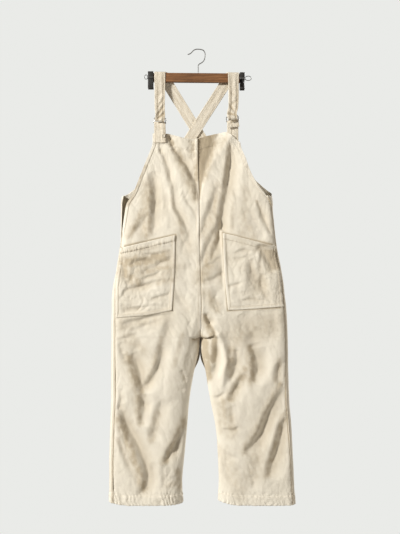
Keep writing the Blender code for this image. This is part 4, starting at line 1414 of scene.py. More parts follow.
class NodeBook:
    """Short ways to place nodes in a tree."""

    def __init__(self, tree: bpy.types.NodeTree) -> None:
        """Keep the tree."""
        self.tree = tree

    def node(self, kind: str, **values: object) -> bpy.types.Node:
        """A node with properties set.

        Args:
            kind: the node's type.
            values: its properties.

        Returns:
            The node.
        """
        made = self.tree.nodes.new(kind)
        for key, value in values.items():
            setattr(made, key, value)
        return made

    def link(self, start: Socket, end: Socket) -> None:
        """Join two sockets."""
        self.tree.links.new(start, end)

    def math(self, operation: str, first: object, second: object = None, third: object = None) -> Socket:
        """A math node on sockets or numbers.

        Args:
            operation: the node's operation.
            first: a socket or a number.
            second: a socket or a number.
            third: a socket or a number.

        Returns:
            The node's output.
        """
        made = self.node("ShaderNodeMath", operation=operation)
        for index, value in enumerate((first, second, third)):
            if isinstance(value, Socket):
                self.link(value, made.inputs[index])
            elif value is not None:
                made.inputs[index].default_value = float(value)
        return made.outputs[0]

    def mix(self, share: Socket, first: object, second: object) -> Socket:
        """A colour mix.

        Args:
            share: how much of the second colour.
            first: a socket or a colour.
            second: a socket or a colour.

        Returns:
            The mixed colour.
        """
        made = self.node("ShaderNodeMix", data_type="RGBA")
        self.link(share, made.inputs[0])
        for index, value in ((6, first), (7, second)):
            if isinstance(value, tuple):
                made.inputs[index].default_value = (*value, 1.0)
            else:
                self.link(value, made.inputs[index])
        return made.outputs[2]

    def noise(self, where: Socket, scale: float, detail: float, rough: float = 0.5) -> Socket:
        """The value of a noise texture.

        Args:
            where: the place to read it at.
            scale: its scale.
            detail: its detail.
            rough: its roughness.

        Returns:
            The value.
        """
        made = self.node("ShaderNodeTexNoise")
        self.link(where, made.inputs["Vector"])
        set_values(made, ("Scale", scale), ("Detail", detail), ("Roughness", rough))
        return made.outputs["Fac"]

    def spread(self, value: object, low: float, high: float, to_low: float, to_high: float) -> Socket:
        """A clamped range map.

        Args:
            value: the socket to map.
            low: its least value.
            high: its greatest.
            to_low: what the least becomes.
            to_high: what the greatest becomes.

        Returns:
            The mapped value.
        """
        made = self.node("ShaderNodeMapRange")
        self.link(value, made.inputs["Value"])
        set_values(made, ("From Min", low), ("From Max", high), ("To Min", to_low), ("To Max", to_high))
        return made.outputs["Result"]

    def bump(self, shader: bpy.types.Node, height: Socket, strength: float, distance: float) -> None:
        """Raise a shader's surface by a height.

        Args:
            shader: the shader.
            height: the height.
            strength: the bump's strength.
            distance: the height's scale.
        """
        made = self.node("ShaderNodeBump")
        set_values(made, ("Strength", strength), ("Distance", distance))
        self.link(height, made.inputs["Height"])
        self.link(made.outputs[0], shader.inputs["Normal"])


def new_finish(name: str) -> tuple:
    """A new material, its node book and its shader.

    Args:
        name: the material's name.

    Returns:
        The three.
    """
    made = bpy.data.materials.new(name)
    made.use_nodes = True
    return made, NodeBook(made.node_tree), made.node_tree.nodes["Principled BSDF"]


def new_group(name: str, inputs: Sequence, outputs: Sequence) -> tuple:
    """A shader group with named sockets.

    Args:
        name: the group's name.
        inputs: (name, kind, default) rows.
        outputs: (name, kind) rows.

    Returns:
        The group, its book, its input node and its output node.
    """
    group = bpy.data.node_groups.new(name, "ShaderNodeTree")
    for label, kind, default in inputs:
        socket = group.interface.new_socket(label, in_out="INPUT", socket_type=kind)
        if default is not None:
            socket.default_value = default
    for label, kind in outputs:
        group.interface.new_socket(label, in_out="OUTPUT", socket_type=kind)
    book = NodeBook(group)
    return group, book, book.node("NodeGroupInput"), book.node("NodeGroupOutput")


class SharedEffects:
    """Shader groups that more than one finish uses."""

    def __init__(self) -> None:
        """Build each group once."""
        self.cord = self._cord()
        self.wear = self._wear()

    def _cord(self) -> bpy.types.NodeTree:
        """Wales of the cord: their height and the shade painted in their valleys, from a place on the cloth in
        metres.
        """
        group, book, given, made = new_group(
            "cord wales",
            [("Place", "NodeSocketVector", None), ("Pitch", "NodeSocketFloat", WALE_PITCH),
             ("Unevenness", "NodeSocketFloat", 0.35)],
            [("Height", "NodeSocketFloat"), ("Shade", "NodeSocketFloat")],
        )
        split = book.node("ShaderNodeSeparateXYZ")
        book.link(given.outputs["Place"], split.inputs[0])
        sway = book.noise(given.outputs["Place"], 45.0, 2.0)
        shift = book.math("MULTIPLY", book.math("SUBTRACT", sway, 0.5), given.outputs["Unevenness"])
        turns = book.math("DIVIDE", split.outputs["X"], given.outputs["Pitch"])
        turns = book.math("ADD", turns, shift)
        wave = book.math("SINE", book.math("MULTIPLY", turns, 2 * math.pi))
        wale = book.math("POWER", book.math("MULTIPLY_ADD", wave, 0.5, 0.5), 0.6)
        nap = book.noise(given.outputs["Place"], 900.0, 3.0, 0.65)
        tuft = book.math("MULTIPLY", book.math("SUBTRACT", nap, 0.5), 0.55)
        book.link(book.math("ADD", wale, tuft), made.inputs["Height"])
        book.link(book.math("MULTIPLY_ADD", tuft, 0.5, wale), made.inputs["Shade"])
        return group

    def _wear(self) -> bpy.types.NodeTree:
        """Soft washing marks: broad, uneven and stronger beside edges."""
        group, book, given, made = new_group(
            "washed cloth",
            [("Place", "NodeSocketVector", None), ("Edge", "NodeSocketFloat", 0.0)],
            [("Mottle", "NodeSocketFloat"), ("Rub", "NodeSocketFloat")],
        )
        broad = book.noise(given.outputs["Place"], 9.0, 4.0, 0.55)
        small = book.noise(given.outputs["Place"], 70.0, 3.0, 0.6)
        mixed = book.math("MULTIPLY_ADD", small, 0.35, book.math("MULTIPLY", broad, 0.65))
        book.link(book.spread(mixed, 0.32, 0.68, 0.0, 1.0), made.inputs["Mottle"])
        rub = book.math("MULTIPLY", given.outputs["Edge"], small)
        book.link(rub, made.inputs["Rub"])
        return group


@dataclass(frozen=True)
class CordFinish:
    """Cream needlecord, matt with a soft nap, with painted shade in its wales' valleys and where its fold mark lies.
    """

    name: str
    light: tuple = (0.826, 0.776, 0.664)
    deep: tuple = (0.696, 0.636, 0.514)
    rubbed: tuple = (0.9, 0.86, 0.77)
    # painted shade colours: hollow for shade in folds and seams, gap for the near-black shadow under the crotch
    hollow: tuple = (0.4, 0.316, 0.196)
    gap: tuple = (0.075, 0.054, 0.034)
    relief: float = 0.00035

    def make(self, effects: SharedEffects) -> Finish:
        """Build the material.

        Args:
            effects: the shared groups.

        Returns:
            The material.
        """
        made, book, shader = new_finish(self.name)
        place = book.node("ShaderNodeUVMap", uv_map="cloth").outputs[0]
        cord = book.node("ShaderNodeGroup", node_tree=effects.cord)
        wear = book.node("ShaderNodeGroup", node_tree=effects.wear)
        edge = book.node("ShaderNodeAttribute", attribute_name="wear")
        book.link(place, cord.inputs["Place"])
        book.link(place, wear.inputs["Place"])
        book.link(edge.outputs["Fac"], wear.inputs["Edge"])
        # painted shade in the wales' valleys: the deep colour where the wales' shade is low
        base = book.mix(book.spread(cord.outputs["Shade"], 0.0, 1.1, 0.25, 1.0), self.deep, self.light)
        base = book.mix(book.math("MULTIPLY", wear.outputs["Mottle"], 0.3), base, self.rubbed)
        base = book.mix(book.math("MULTIPLY", wear.outputs["Rub"], 0.35), base, self.rubbed)
        # painted shade: the fold mark mixes in the hollow colour, and above 1 the gap's near-black shadow
        fold = book.node("ShaderNodeAttribute", attribute_name="fold")
        base = book.mix(book.spread(fold.outputs["Fac"], 0.0, 1.0, 0.0, 0.85), base, self.hollow)
        base = book.mix(book.spread(fold.outputs["Fac"], 1.02, 1.3, 0.0, 0.9), base, self.gap)
        book.link(base, shader.inputs["Base Color"])
        book.link(book.spread(cord.outputs["Shade"], 0.0, 1.1, 0.96, 0.84), shader.inputs["Roughness"])
        book.bump(shader, cord.outputs["Height"], 0.75, self.relief)
        set_values(shader, ("Sheen Weight", 0.22), ("Sheen Roughness", 0.45), ("Sheen Tint", (1.0, 0.96, 0.88, 1.0)),
                   ("Specular IOR Level", 0.25))
        return made


@dataclass(frozen=True)
class PlainFinish:
    """A hard finish with fine scratches and grime from noise."""

    name: str
    colour: tuple
    second: tuple
    rough: float
    metallic: float
    scale: float = 400.0
    relief: float = 0.00006

    def make(self) -> Finish:
        """Build the material."""
        made, book, shader = new_finish(self.name)
        place = book.node("ShaderNodeTexCoord").outputs["Object"]
        marks = book.noise(place, self.scale, 4.0, 0.6)
        blot = book.noise(place, self.scale * 0.18, 3.0, 0.5)
        share = book.spread(blot, 0.35, 0.7, 0.0, 1.0)
        book.link(book.mix(share, self.colour, self.second), shader.inputs["Base Color"])
        rough = book.spread(marks, 0.3, 0.7, self.rough * 0.8, min(1.0, self.rough * 1.35))
        book.link(rough, shader.inputs["Roughness"])
        set_values(shader, ("Metallic", self.metallic))
        book.bump(shader, marks, 0.4, self.relief)
        return made


@dataclass(frozen=True)
class WoodFinish:
    """Brown stained wood with its grain along the bar."""

    name: str
    dark: tuple = (0.1, 0.042, 0.018)
    light: tuple = (0.33, 0.16, 0.07)

    def make(self) -> Finish:
        """Build the material."""
        made, book, shader = new_finish(self.name)
        place = book.node("ShaderNodeTexCoord").outputs["Object"]
        squeeze = book.node("ShaderNodeMapping")
        squeeze.inputs["Scale"].default_value = (4.0, 60.0, 60.0)
        book.link(place, squeeze.inputs["Vector"])
        grain = book.noise(squeeze.outputs[0], 3.2, 6.0, 0.62)
        streak = book.noise(squeeze.outputs[0], 11.0, 4.0, 0.7)
        share = book.math("MULTIPLY_ADD", streak, 0.4, book.math("MULTIPLY", grain, 0.6))
        colour = book.mix(book.spread(share, 0.38, 0.64, 0.0, 1.0), self.dark, self.light)
        book.link(colour, shader.inputs["Base Color"])
        book.link(book.spread(share, 0.35, 0.65, 0.5, 0.34), shader.inputs["Roughness"])
        book.bump(shader, share, 0.35, 0.0002)
        set_values(shader, ("Coat Weight", 0.25), ("Coat Roughness", 0.25))
        return made


# Straps, tabs, rings, button


@dataclass(frozen=True)
class StrapLine:
    """Where one shoulder strap runs."""

    side: Side
    front: float
    behind: float
    slope: float
    cross_y: float
    end_y: float
    ring_x: float
    ring_z: float
    ring_turn: float


RING_WIRE = 0.0014
RING_WIDTH = 0.04
RING_TALL = 0.0185
RING_ROUND = 0.0035
RING_Y = -0.012
BAR_THICK = 0.012
BAR_TALL = 0.029
BAR_TOP = -0.0725
BAR_ROUND = 0.003
BAR_TILT = math.radians(0.5)
LOOP_EASE = 0.0005
STRAP_WIDTH = 0.033
STRAP_END = -0.386
STRAP_RETURN = -0.185
STRAP_LINES = (
    StrapLine(Side.LEFT, -0.124, -0.1165, 0.6176, 0.0092, 0.0112, -0.1235, -0.2222, -4.0),
    StrapLine(Side.RIGHT, 0.1036, 0.0955, -0.64, 0.0052, 0.0112, 0.1, -0.2165, 8.0),
)


def bar_top(x: float) -> float:
    """Height of the tilted bar's top."""
    return BAR_TOP - math.tan(BAR_TILT) * x


def ring_point(line: StrapLine, level: int, y: float, height: float) -> tuple:
    """A point beside a ring's bar: level 1 the upper, -1 the lower.

    Args:
        line: the strap's line.
        level: which bar.
        y: how far behind the bar.
        height: how far above it.

    Returns:
        The point.
    """
    turn = math.radians(line.ring_turn)
    up = level * (RING_TALL / 2 - RING_WIRE) + height
    return (line.ring_x - math.sin(turn) * up, RING_Y + y, line.ring_z + math.cos(turn) * up)


def bib_y(side: Side, x: float, z: float) -> float:
    """Depth of the plain front near the bib's top, whose rows follow the top edge.

    Args:
        side: which half.
        x: across the garment.
        z: height.

    Returns:
        The depth.
    """
    half = HalfForm(side)
    row = z
    for _ in range(5):
        row = z - float((read_line(BIB_EDGE, x) - BIB_TOP) * step(FRONT_FIT, BIB_TOP, np.array(row)))
    share = (half.sign * x - half.inner(row)) / (half.outer(row) - half.inner(row))
    return float(half.smooth_y(Face.FRONT, share, np.array(row)))


@dataclass(frozen=True)
class StripFold:
    """A fold across a strip: where along it, its slant, middle, span, half width and depth."""

    at: float
    cross: float
    middle: float
    span: float
    width: float
    depth: float


@dataclass
class Ribbon:
    """A flat doubled strip swept along a path."""

    name: str
    rows: list
    width: float
    thick: float
    material: Finish
    folds: tuple = ()
    lengthwise: tuple = ()
    seed: int = 0
    across: int = 32
    pitch: float = 0.0021
    kept: float = 0.21
    bunch: float = 0.0

    def build(self) -> tuple:
        """Make the strip.

        Returns:
            The piece, its middle grid and its normals.
        """
        line = spline(np.array(self.rows, float), self.pitch)
        path, turns = line[:, :3], np.radians(line[:, 3])
        along = unit(np.gradient(path, axis=0))
        level = np.stack([np.cos(turns), 0 * turns, np.sin(turns)], axis=1)
        square = level - along * np.sum(level * along, axis=1, keepdims=True)
        lean = step(0.1, 0.25, np.abs(turns))[:, None]
        sides = unit(level * (1 - lean) + square * lean)
        normals = unit(np.cross(along, sides))
        run = np.concatenate([[0.0], np.cumsum(np.linalg.norm(np.diff(path, axis=0), axis=1))])
        share = np.sin(np.linspace(-math.pi / 2, math.pi / 2, self.across + 1))
        share = 0.55 * share + 0.45 * np.linspace(-1, 1, self.across + 1)
        t = run[:, None]
        front = 1.0 - step(self.kept - 0.04, self.kept + 0.02, t)
        narrow = 1.0 - self.bunch * front * (0.35 + 0.65 * (1.0 - step(0.05, self.kept - 0.03, t)))
        s = share[None, :] * self.width / 2 * narrow
        away = self.width / 2 * narrow - np.abs(s)
        # painted shade: the strip's right edge, its sewn lines and its lengthwise streaks
        mark = 0.42 * front * np.exp(-away / 0.0016) * (s > 0) + 0.3 * bell(away - 0.0042, 0.0011)
        streak = 0.5 + 1.1 * lattice(s / 0.0045, t / 0.06, self.seed + 4)
        mark = mark + 0.3 * np.clip(streak, 0.0, 1.0)
        view = 0.00045 * lattice(s / 0.012 + 3, t / 0.024, self.seed)
        view = view + 0.00028 * lattice(s / 0.006, t / 0.01, self.seed + 1)
        wander = 0.0012 * lattice(0 * t, t / 0.045, self.seed + 2)
        for at, width, rise in self.lengthwise:
            shown = 1.0 - 0.75 * step(self.kept - 0.04, self.kept + 0.02, t)
            view = view + rise * shown * step(-width, width, s - at - wander)
            groove = shown * np.exp(-(((s - at - wander) / (1.3 * width)) ** 2))
            view = view - 0.5 * abs(rise) * groove
            # painted shade in the lengthwise groove
            mark = mark + 0.3 * groove
        for fold in self.folds:
            bend = (t - fold.at - fold.cross * s) / fold.width
            dip = fold.depth * np.exp(-bend ** 2) * bell(s - fold.middle, fold.span)
            view = view - dip
            # painted shade in the fold's dip
            mark = mark + 0.75 * np.clip(dip / 0.0032, 0.0, 1.0) ** 1.5
        relief = view * -normals[:, None, 1]
        thin = 0.0003 * bell(away - 0.0032, 0.001)
        middle = path[:, None] + sides[:, None] * s[..., None]
        thick = self.thick - 2 * thin - 0.0004 * np.exp(-away / 0.001)
        uv = np.stack(np.broadcast_arrays(s, t + 0.0 * relief), axis=-1)
        sheet = ClothSheet(middle + normals[:, None] * relief[..., None],
                           np.broadcast_to(normals[:, None], middle.shape), thick * np.ones_like(relief), uv,
                           np.exp(-away / 0.003) * np.ones_like(relief), np.clip(mark, 0.0, 0.9))
        return sheet.build(self.name + "_cloth", self.material), sheet


# The slack roll of each strap before its ring: how far out of the ring's loop, and how high
ROLLS = {
    Side.LEFT: ((0.0004, 0.0035), (0.003, 0.0066), (0.0064, 0.004), (0.0074, -0.002), (0.007, -0.008),
                (0.009, -0.0116), (0.0118, -0.0094), (0.0124, -0.002), (0.01, 0.009)),
    Side.RIGHT: ((0.0004, 0.003), (0.003, 0.006), (0.0062, 0.004), (0.0072, -0.002), (0.0072, -0.0085),
                 (0.0098, -0.0128), (0.0136, -0.0096), (0.014, -0.002), (0.0104, 0.007)),
}


def strap_rows(line: StrapLine) -> list:
    """The strap's path from its sewn end behind the ring over the bar to the back.

    Args:
        line: where the strap runs.

    Returns:
        Rows of x, y, z and the turn across it in degrees.
    """
    loop = RING_WIRE + SEAM_GAP + STRAP_CLOTH / 2 + LOOP_EASE
    bend = BAR_ROUND + SEAM_GAP + STRAP_CLOTH / 2 + LOOP_EASE
    lean = math.degrees(math.atan(line.slope))
    rows = [(line.ring_x, RING_Y + loop, STRAP_RETURN, 0.0)]
    rows.append((*ring_point(line, 1, loop, 0.009), line.ring_turn))
    for turn in range(0, 181, 20):
        angle = math.radians(turn)
        rows.append((*ring_point(line, 1, loop * math.cos(angle), -loop * math.sin(angle)), line.ring_turn))
    for out, height in ROLLS[line.side]:
        rows.append((*ring_point(line, 1, -loop - out, height), line.ring_turn))
    inset = BAR_THICK / 2 - BAR_ROUND
    tilt = -math.degrees(BAR_TILT)
    top = bar_top(line.front) - BAR_ROUND
    rows.append(((line.ring_x + line.front) / 2, RING_Y - loop - 0.0045, STRAP_RETURN, 0.0))
    rows.append((line.front, -inset - bend - 0.005, -0.15, 0.0))
    rows.append((line.front, -inset - bend - 0.001, -0.12, 0.0))
    rows.append((line.front, -inset - bend, -0.1, tilt))
    for turn in (180, 160, 140, 120, 105, 90, 90, 75, 60, 40, 20, 0):
        angle = math.radians(turn)
        if turn == 90:
            back = 1 if rows[-1][1] > -inset - 1e-6 else -1
            share = 0.5 + back * 0.3
            rows.append((line.front + (line.behind - line.front) * share, back * inset, top + bend, tilt))
            continue
        back = 1 if turn < 90 else -1
        share = 0.5 + back * (0.38 + 0.12 * abs(math.cos(angle)))
        x = line.front + (line.behind - line.front) * share
        rows.append((x, back * inset + bend * math.cos(angle), top + bend * math.sin(angle), tilt))
    stages = ((-0.088, 0.0, 0.5), (-0.105, 0.0, 0.9), (-0.135, 0.2, 1.0), (-0.17, 0.6, 1.0), (-0.205, 1.0, 1.0),
              (-0.255, 1.0, 1.0), (-0.3, 1.4, 1.0), (-0.345, 1.85, 1.0), (-0.364, 2.0, 1.0), (STRAP_END, 2.0, 1.0))
    for z, stage, share in stages:
        x = line.behind + line.slope * (-0.076 - z)
        y = float(np.interp(stage, [0.0, 1.0, 2.0], [inset + bend, line.cross_y, line.end_y]))
        rows.append((x, y, z, lean * share))
    return rows


def tab_rows(line: StrapLine, x: float, front_end: float, back_end: float, on_front: bool, behind: float) -> list:
    """A tab's path: its front end, over the ring's lower bar, down behind the bib.

    Args:
        line: the strap's line, with its ring.
        x: the tab's middle.
        front_end: height of the front end, or of the turned end above the ring's bar.
        back_end: height of the end behind the bib.
        on_front: True where the front end lies on the bib.
        behind: how much farther back the hidden end lies.

    Returns:
        Rows of x, y, z and the turn across it in degrees.
    """
    loop = RING_WIRE + SEAM_GAP + TAB_CLOTH / 2 + LOOP_EASE
    off = LAYER + TAB_CLOTH / 2 + 0.001
    rows = []
    if on_front:
        for z in (front_end, front_end + 0.012, front_end + 0.024):
            rows.append((x, bib_y(line.side, x, z) - off - 0.001, z, 0.0))
    else:
        rows.append((*ring_point(line, -1, -loop, front_end), line.ring_turn))
    for turn in range(180, -1, -20):
        angle = math.radians(turn)
        rows.append((*ring_point(line, -1, loop * math.cos(angle), loop * math.sin(angle)), line.ring_turn))
    for z in (back_end + 0.03, back_end + 0.015, back_end):
        rows.append((x, bib_y(line.side, x, z) + off + behind, z, 0.0))
    return rows


def swept_tube(name: str, line: Array, radius: float, sides: int, material: Finish,
               closed: bool = False, up: tuple = (0.0, 1.0, 0.0)) -> Piece:
    """A round wire along a line.

    Args:
        name: the piece's name.
        line: points along its middle.
        radius: the wire's radius.
        sides: faces round it.
        material: its finish.
        closed: True for a loop.
        up: a direction that the line is never along.

    Returns:
        The new object.
    """
    gaps = np.roll(line, -1, axis=0) - np.roll(line, 1, axis=0) if closed else np.gradient(line, axis=0)
    along = unit(gaps)
    first = unit(np.cross(np.tile(np.array(up), (len(line), 1)), along))
    second = np.cross(along, first)
    turns = np.linspace(0, 2 * math.pi, sides, endpoint=False)
    around = line[:, None] + radius * (
        np.cos(turns)[None, :, None] * first[:, None] + np.sin(turns)[None, :, None] * second[:, None])
    starts = [index * sides for index in range(len(line))]
    faces = ring_faces(starts + [0] if closed else starts, sides)
    points = around.reshape(-1, 3)
    if not closed:
        for end, way in ((0, -1.0), (len(line) - 1, 1.0)):
            rings = [end * sides]
            for shrink, push in ((0.8, 0.45), (0.35, 0.75), (0.04, 0.85)):
                rings.append(len(points))
                ring = line[end] + (around[end] - line[end]) * shrink + along[end] * way * push * radius
                points = np.concatenate([points, ring])
            cap = ring_faces(rings, sides) + cap_faces(rings[-1], sides)
            faces += cap if way > 0 else turned_round(cap)
    return mesh_object(name, points, np.array(faces), material)


@dataclass
class Fastening:
    """One side's strap, ring and bib tab."""

    line: StrapLine
    strap_folds: tuple
    strap_lines: tuple
    tab_x: float
    tab_ends: tuple
    tab_on_front: bool
    tab_behind: float
    tab_folds: tuple
    tab_lines: tuple
    strap_length: float
    tab_length: float

    def build(self, cloth: Finish, steel: Finish) -> list:
        """Make the strap, ring and tab.

        Args:
            cloth: the straps' finish.
            steel: the rings' finish.

        Returns:
            The strap's and the tab's names and sheets.
        """
        word = self.line.side.word
        strap_name, tab_name, ring_name = "strap_" + word, "tab_" + word, "ring_" + word
        strap = Ribbon(strap_name, strap_rows(self.line), STRAP_WIDTH, STRAP_CLOTH, cloth,
                       self.strap_folds, self.strap_lines, 30 + self.line.side.value, bunch=0.15)
        piece, strap_sheet = strap.build()
        settle(piece, "strap", strap_name)
        LOG.info("%s: %d faces", piece.name, len(piece.data.polygons))
        rows = tab_rows(self.line, self.tab_x, *self.tab_ends, self.tab_on_front, self.tab_behind)
        tab = Ribbon(tab_name, rows, TAB_WIDTH, TAB_CLOTH, cloth, self.tab_folds, self.tab_lines,
                     34 + self.line.side.value, pitch=0.0014)
        piece, tab_sheet = tab.build()
        settle(piece, "strap", tab_name)
        LOG.info("%s: %d faces", piece.name, len(piece.data.polygons))
        settle(self._ring(steel), "steel", ring_name)
        return [(strap_name, strap_sheet), (tab_name, tab_sheet)]

    def _ring(self, steel: Finish) -> Piece:
        """The rounded rectangular wire ring, tilted as it hangs.

        Args:
            steel: its finish.

        Returns:
            The piece.
        """
        flat = rounded(RING_WIDTH / 2 - RING_WIRE, RING_TALL / 2 - RING_WIRE, RING_ROUND, 10)
        lean = math.radians(self.line.ring_turn)
        points = [(x * math.cos(lean) - z * math.sin(lean) + self.line.ring_x, RING_Y,
                   x * math.sin(lean) + z * math.cos(lean) + self.line.ring_z) for x, z in flat]
        name = "ring_" + self.line.side.word + "_wire"
        return swept_tube(name, np.array(points), RING_WIRE, 14, steel, closed=True)


def lathe(name: str, profile: Sequence, centre: tuple, material: Finish, count: int = 40) -> Piece:
    """A turned piece about an axis along Y.

    Args:
        name: the piece's name.
        profile: (radius, y) pairs from one pole to the other; the first and last radius is tiny.
        centre: the axis' place.
        material: its finish.
        count: faces round it.

    Returns:
        The new object.
    """
    turns = np.linspace(0, 2 * math.pi, count, endpoint=False)
    points = np.array(centre) + np.concatenate([
        np.stack([r * np.cos(turns), np.full(count, y), r * np.sin(turns)], axis=1) for r, y in profile])
    starts = [index * count for index in range(len(profile))]
    faces = [(a, d, c, b) for a, b, c, d in ring_faces(starts, count)]
    faces += cap_faces(0, count) + turned_round(cap_faces(starts[-1], count))
    return mesh_object(name, points, np.array(faces), material)


@dataclass
class Sewing:
    """Stitches laid along lines by a geometry node tree."""

    thread: Finish
    pitch: float = 0.0034
    radius: float = 0.00034
    tree: bpy.types.NodeTree = field(init=False)

    def __post_init__(self) -> None:
        """Build the tree: lines to even points, a stitch on each, made real."""
        tree = bpy.data.node_groups.new("sewn stitches", "GeometryNodeTree")
        for label, kind in (("Lines", "Geometry"), ("Pitch", "Float"), ("Radius", "Float"), ("Seed", "Int"),
                            ("Thread", "Material")):
            tree.interface.new_socket(label, in_out="INPUT", socket_type="NodeSocket" + kind)
        tree.interface.new_socket("Stitches", in_out="OUTPUT", socket_type="NodeSocketGeometry")
        book = NodeBook(tree)
        given, made = book.node("NodeGroupInput"), book.node("NodeGroupOutput")
        curve = book.node("GeometryNodeMeshToCurve")
        even = book.node("GeometryNodeResampleCurve", mode="LENGTH")
        bead = book.node("GeometryNodeMeshIcoSphere")
        turn = book.node("FunctionNodeAlignRotationToVector", axis="X")
        tangent = book.node("GeometryNodeInputTangent")
        place = book.node("GeometryNodeInstanceOnPoints")
        size = book.node("FunctionNodeRandomValue", data_type="FLOAT_VECTOR")
        real, paint = book.node("GeometryNodeRealizeInstances"), book.node("GeometryNodeSetMaterial")
        long = book.math("DIVIDE", book.math("MULTIPLY", given.outputs["Pitch"], 0.4), given.outputs["Radius"])
        low, high = book.node("ShaderNodeCombineXYZ"), book.node("ShaderNodeCombineXYZ")
        for ends, share in ((low, 0.88), (high, 1.06)):
            book.link(book.math("MULTIPLY", long, share), ends.inputs["X"])
            ends.inputs["Y"].default_value = ends.inputs["Z"].default_value = share
        for start, out, end, into in (
                (given, "Lines", curve, "Mesh"), (curve, "Curve", even, "Curve"), (given, "Pitch", even, "Length"),
                (given, "Radius", bead, "Radius"), (tangent, "Tangent", turn, "Vector"),
                (even, "Curve", place, "Points"), (bead, "Mesh", place, "Instance"),
                (turn, "Rotation", place, "Rotation"), (low, 0, size, 0), (high, 0, size, 1),
                (given, "Seed", size, "Seed"), (size, 0, place, "Scale"), (place, "Instances", real, "Geometry"),
                (real, "Geometry", paint, "Geometry"), (given, "Thread", paint, "Material"),
                (paint, "Geometry", made, "Stitches")):
            book.link(start.outputs[out], end.inputs[into])
        self.tree = tree

    def sew(self, name: str, lines: Sequence, slot: str) -> None:
        """Make one piece of stitches along lines.

        Args:
            name: the piece's name.
            lines: point rows, one array a line.
            slot: the material slot it belongs to.
        """
        points, edges = [], []
        for line in lines:
            edges += [(len(points) + k, len(points) + k + 1) for k in range(len(line) - 1)]
            points += [tuple(point) for point in line]
        mesh = bpy.data.meshes.new(name + "_lines")
        mesh.from_pydata(points, edges, [])
        guide = new_object(name + "_lines", mesh)
        modifier = guide.modifiers.new("stitches", "NODES")
        modifier.node_group = self.tree
        values = {"Pitch": self.pitch, "Radius": self.radius, "Seed": 4, "Thread": self.thread}
        for item in self.tree.interface.items_tree:
            if item.in_out == "INPUT" and item.name in values:
                modifier[item.identifier] = values[item.name]
        bpy.context.view_layer.update()
        real = bpy.data.meshes.new_from_object(guide.evaluated_get(bpy.context.evaluated_depsgraph_get()))
        guide.modifiers.clear()
        bpy.data.objects.remove(guide)
        real.shade_smooth()
        settle(new_object(name, real), slot)
        LOG.info("%s: %d faces", name, len(real.polygons))


def cut(line: Array, high: float, low: float) -> Array:
    """The part of a line between two heights."""
    return line[(line[:, 2] < high) & (line[:, 2] > low)]


def sew_all(sewing: Sewing, panels: dict, pockets: dict, strips: Sequence) -> None:
    """Lay every line of sewing that the garment shows.

    Args:
        sewing: the stitch maker.
        panels: sheets by side and face.
        pockets: sheets by side.
        strips: (name, sheet, face) rows of straps and tabs.
    """
    for (side, face), sheet in panels.items():
        top = SIDE_TOP if side is Side.RIGHT else SIDE_TOP - SIDE_OPENING
        lines = [sheet.end_line(HEM_HEIGHT - 0.001, far=True)]
        if face is Face.FRONT:
            lines += [sheet.end_line(0.0335), cut(sheet.side_line(0.0088, far=True), 0.0, top)]
            if side is Side.LEFT:
                lines.append(cut(sheet.side_line(0.0078), 0.0, CROTCH))
        else:
            lines += [sheet.end_line(0.029), cut(sheet.side_line(FELL - 0.0008), top, HEM)]
            lines.append(cut(sheet.side_line(0.0012), top, HEM))
            if side is Side.LEFT:
                lines.append(cut(sheet.side_line(0.0078, far=True), 0.0, CROTCH))
        sewing.sew(f"stitches_{face.value}_{side.word}", lines, "cord")
    for side, sheet in pockets.items():
        lines = [sheet.side_line(0.0078), sheet.side_line(0.0078, far=True), sheet.end_line(0.0078, far=True)]
        sewing.sew(f"stitches_pocket_{side.word}", lines + [sheet.end_line(0.016)], "cord")
    for name, sheet in strips:
        lines = [sheet.side_line(0.0032, far, face) for far in (False, True) for face in (1.0, -1.0)]
        sewing.sew("stitches_" + name, lines, "strap")


def build_button(material: Finish) -> Piece:
    """The left tab's round button with its sunk middle and rim.

    Args:
        material: its finish.

    Returns:
        The piece.
    """
    x, z = -0.112, -0.27
    y = bib_y(Side.LEFT, -0.123, z) - LAYER - TAB_CLOTH - SEAM_GAP - 0.0024 - 0.0026
    r = 0.0055
    profile = [(0.00005, 0.0007), (r * 0.45, 0.0006), (r * 0.62, 0.0004), (r * 0.72, 0.0), (r * 0.82, -0.0002),
               (r * 0.93, 0.0), (r, 0.0007), (r * 0.98, 0.0014), (r * 0.85, 0.0022), (r * 0.4, 0.0024),
               (0.00005, 0.0024)]
    piece = lathe("button_left_shell", profile, (x, y, z), material)
    settle(piece, "button", "button_left")
    return piece


# Hanger


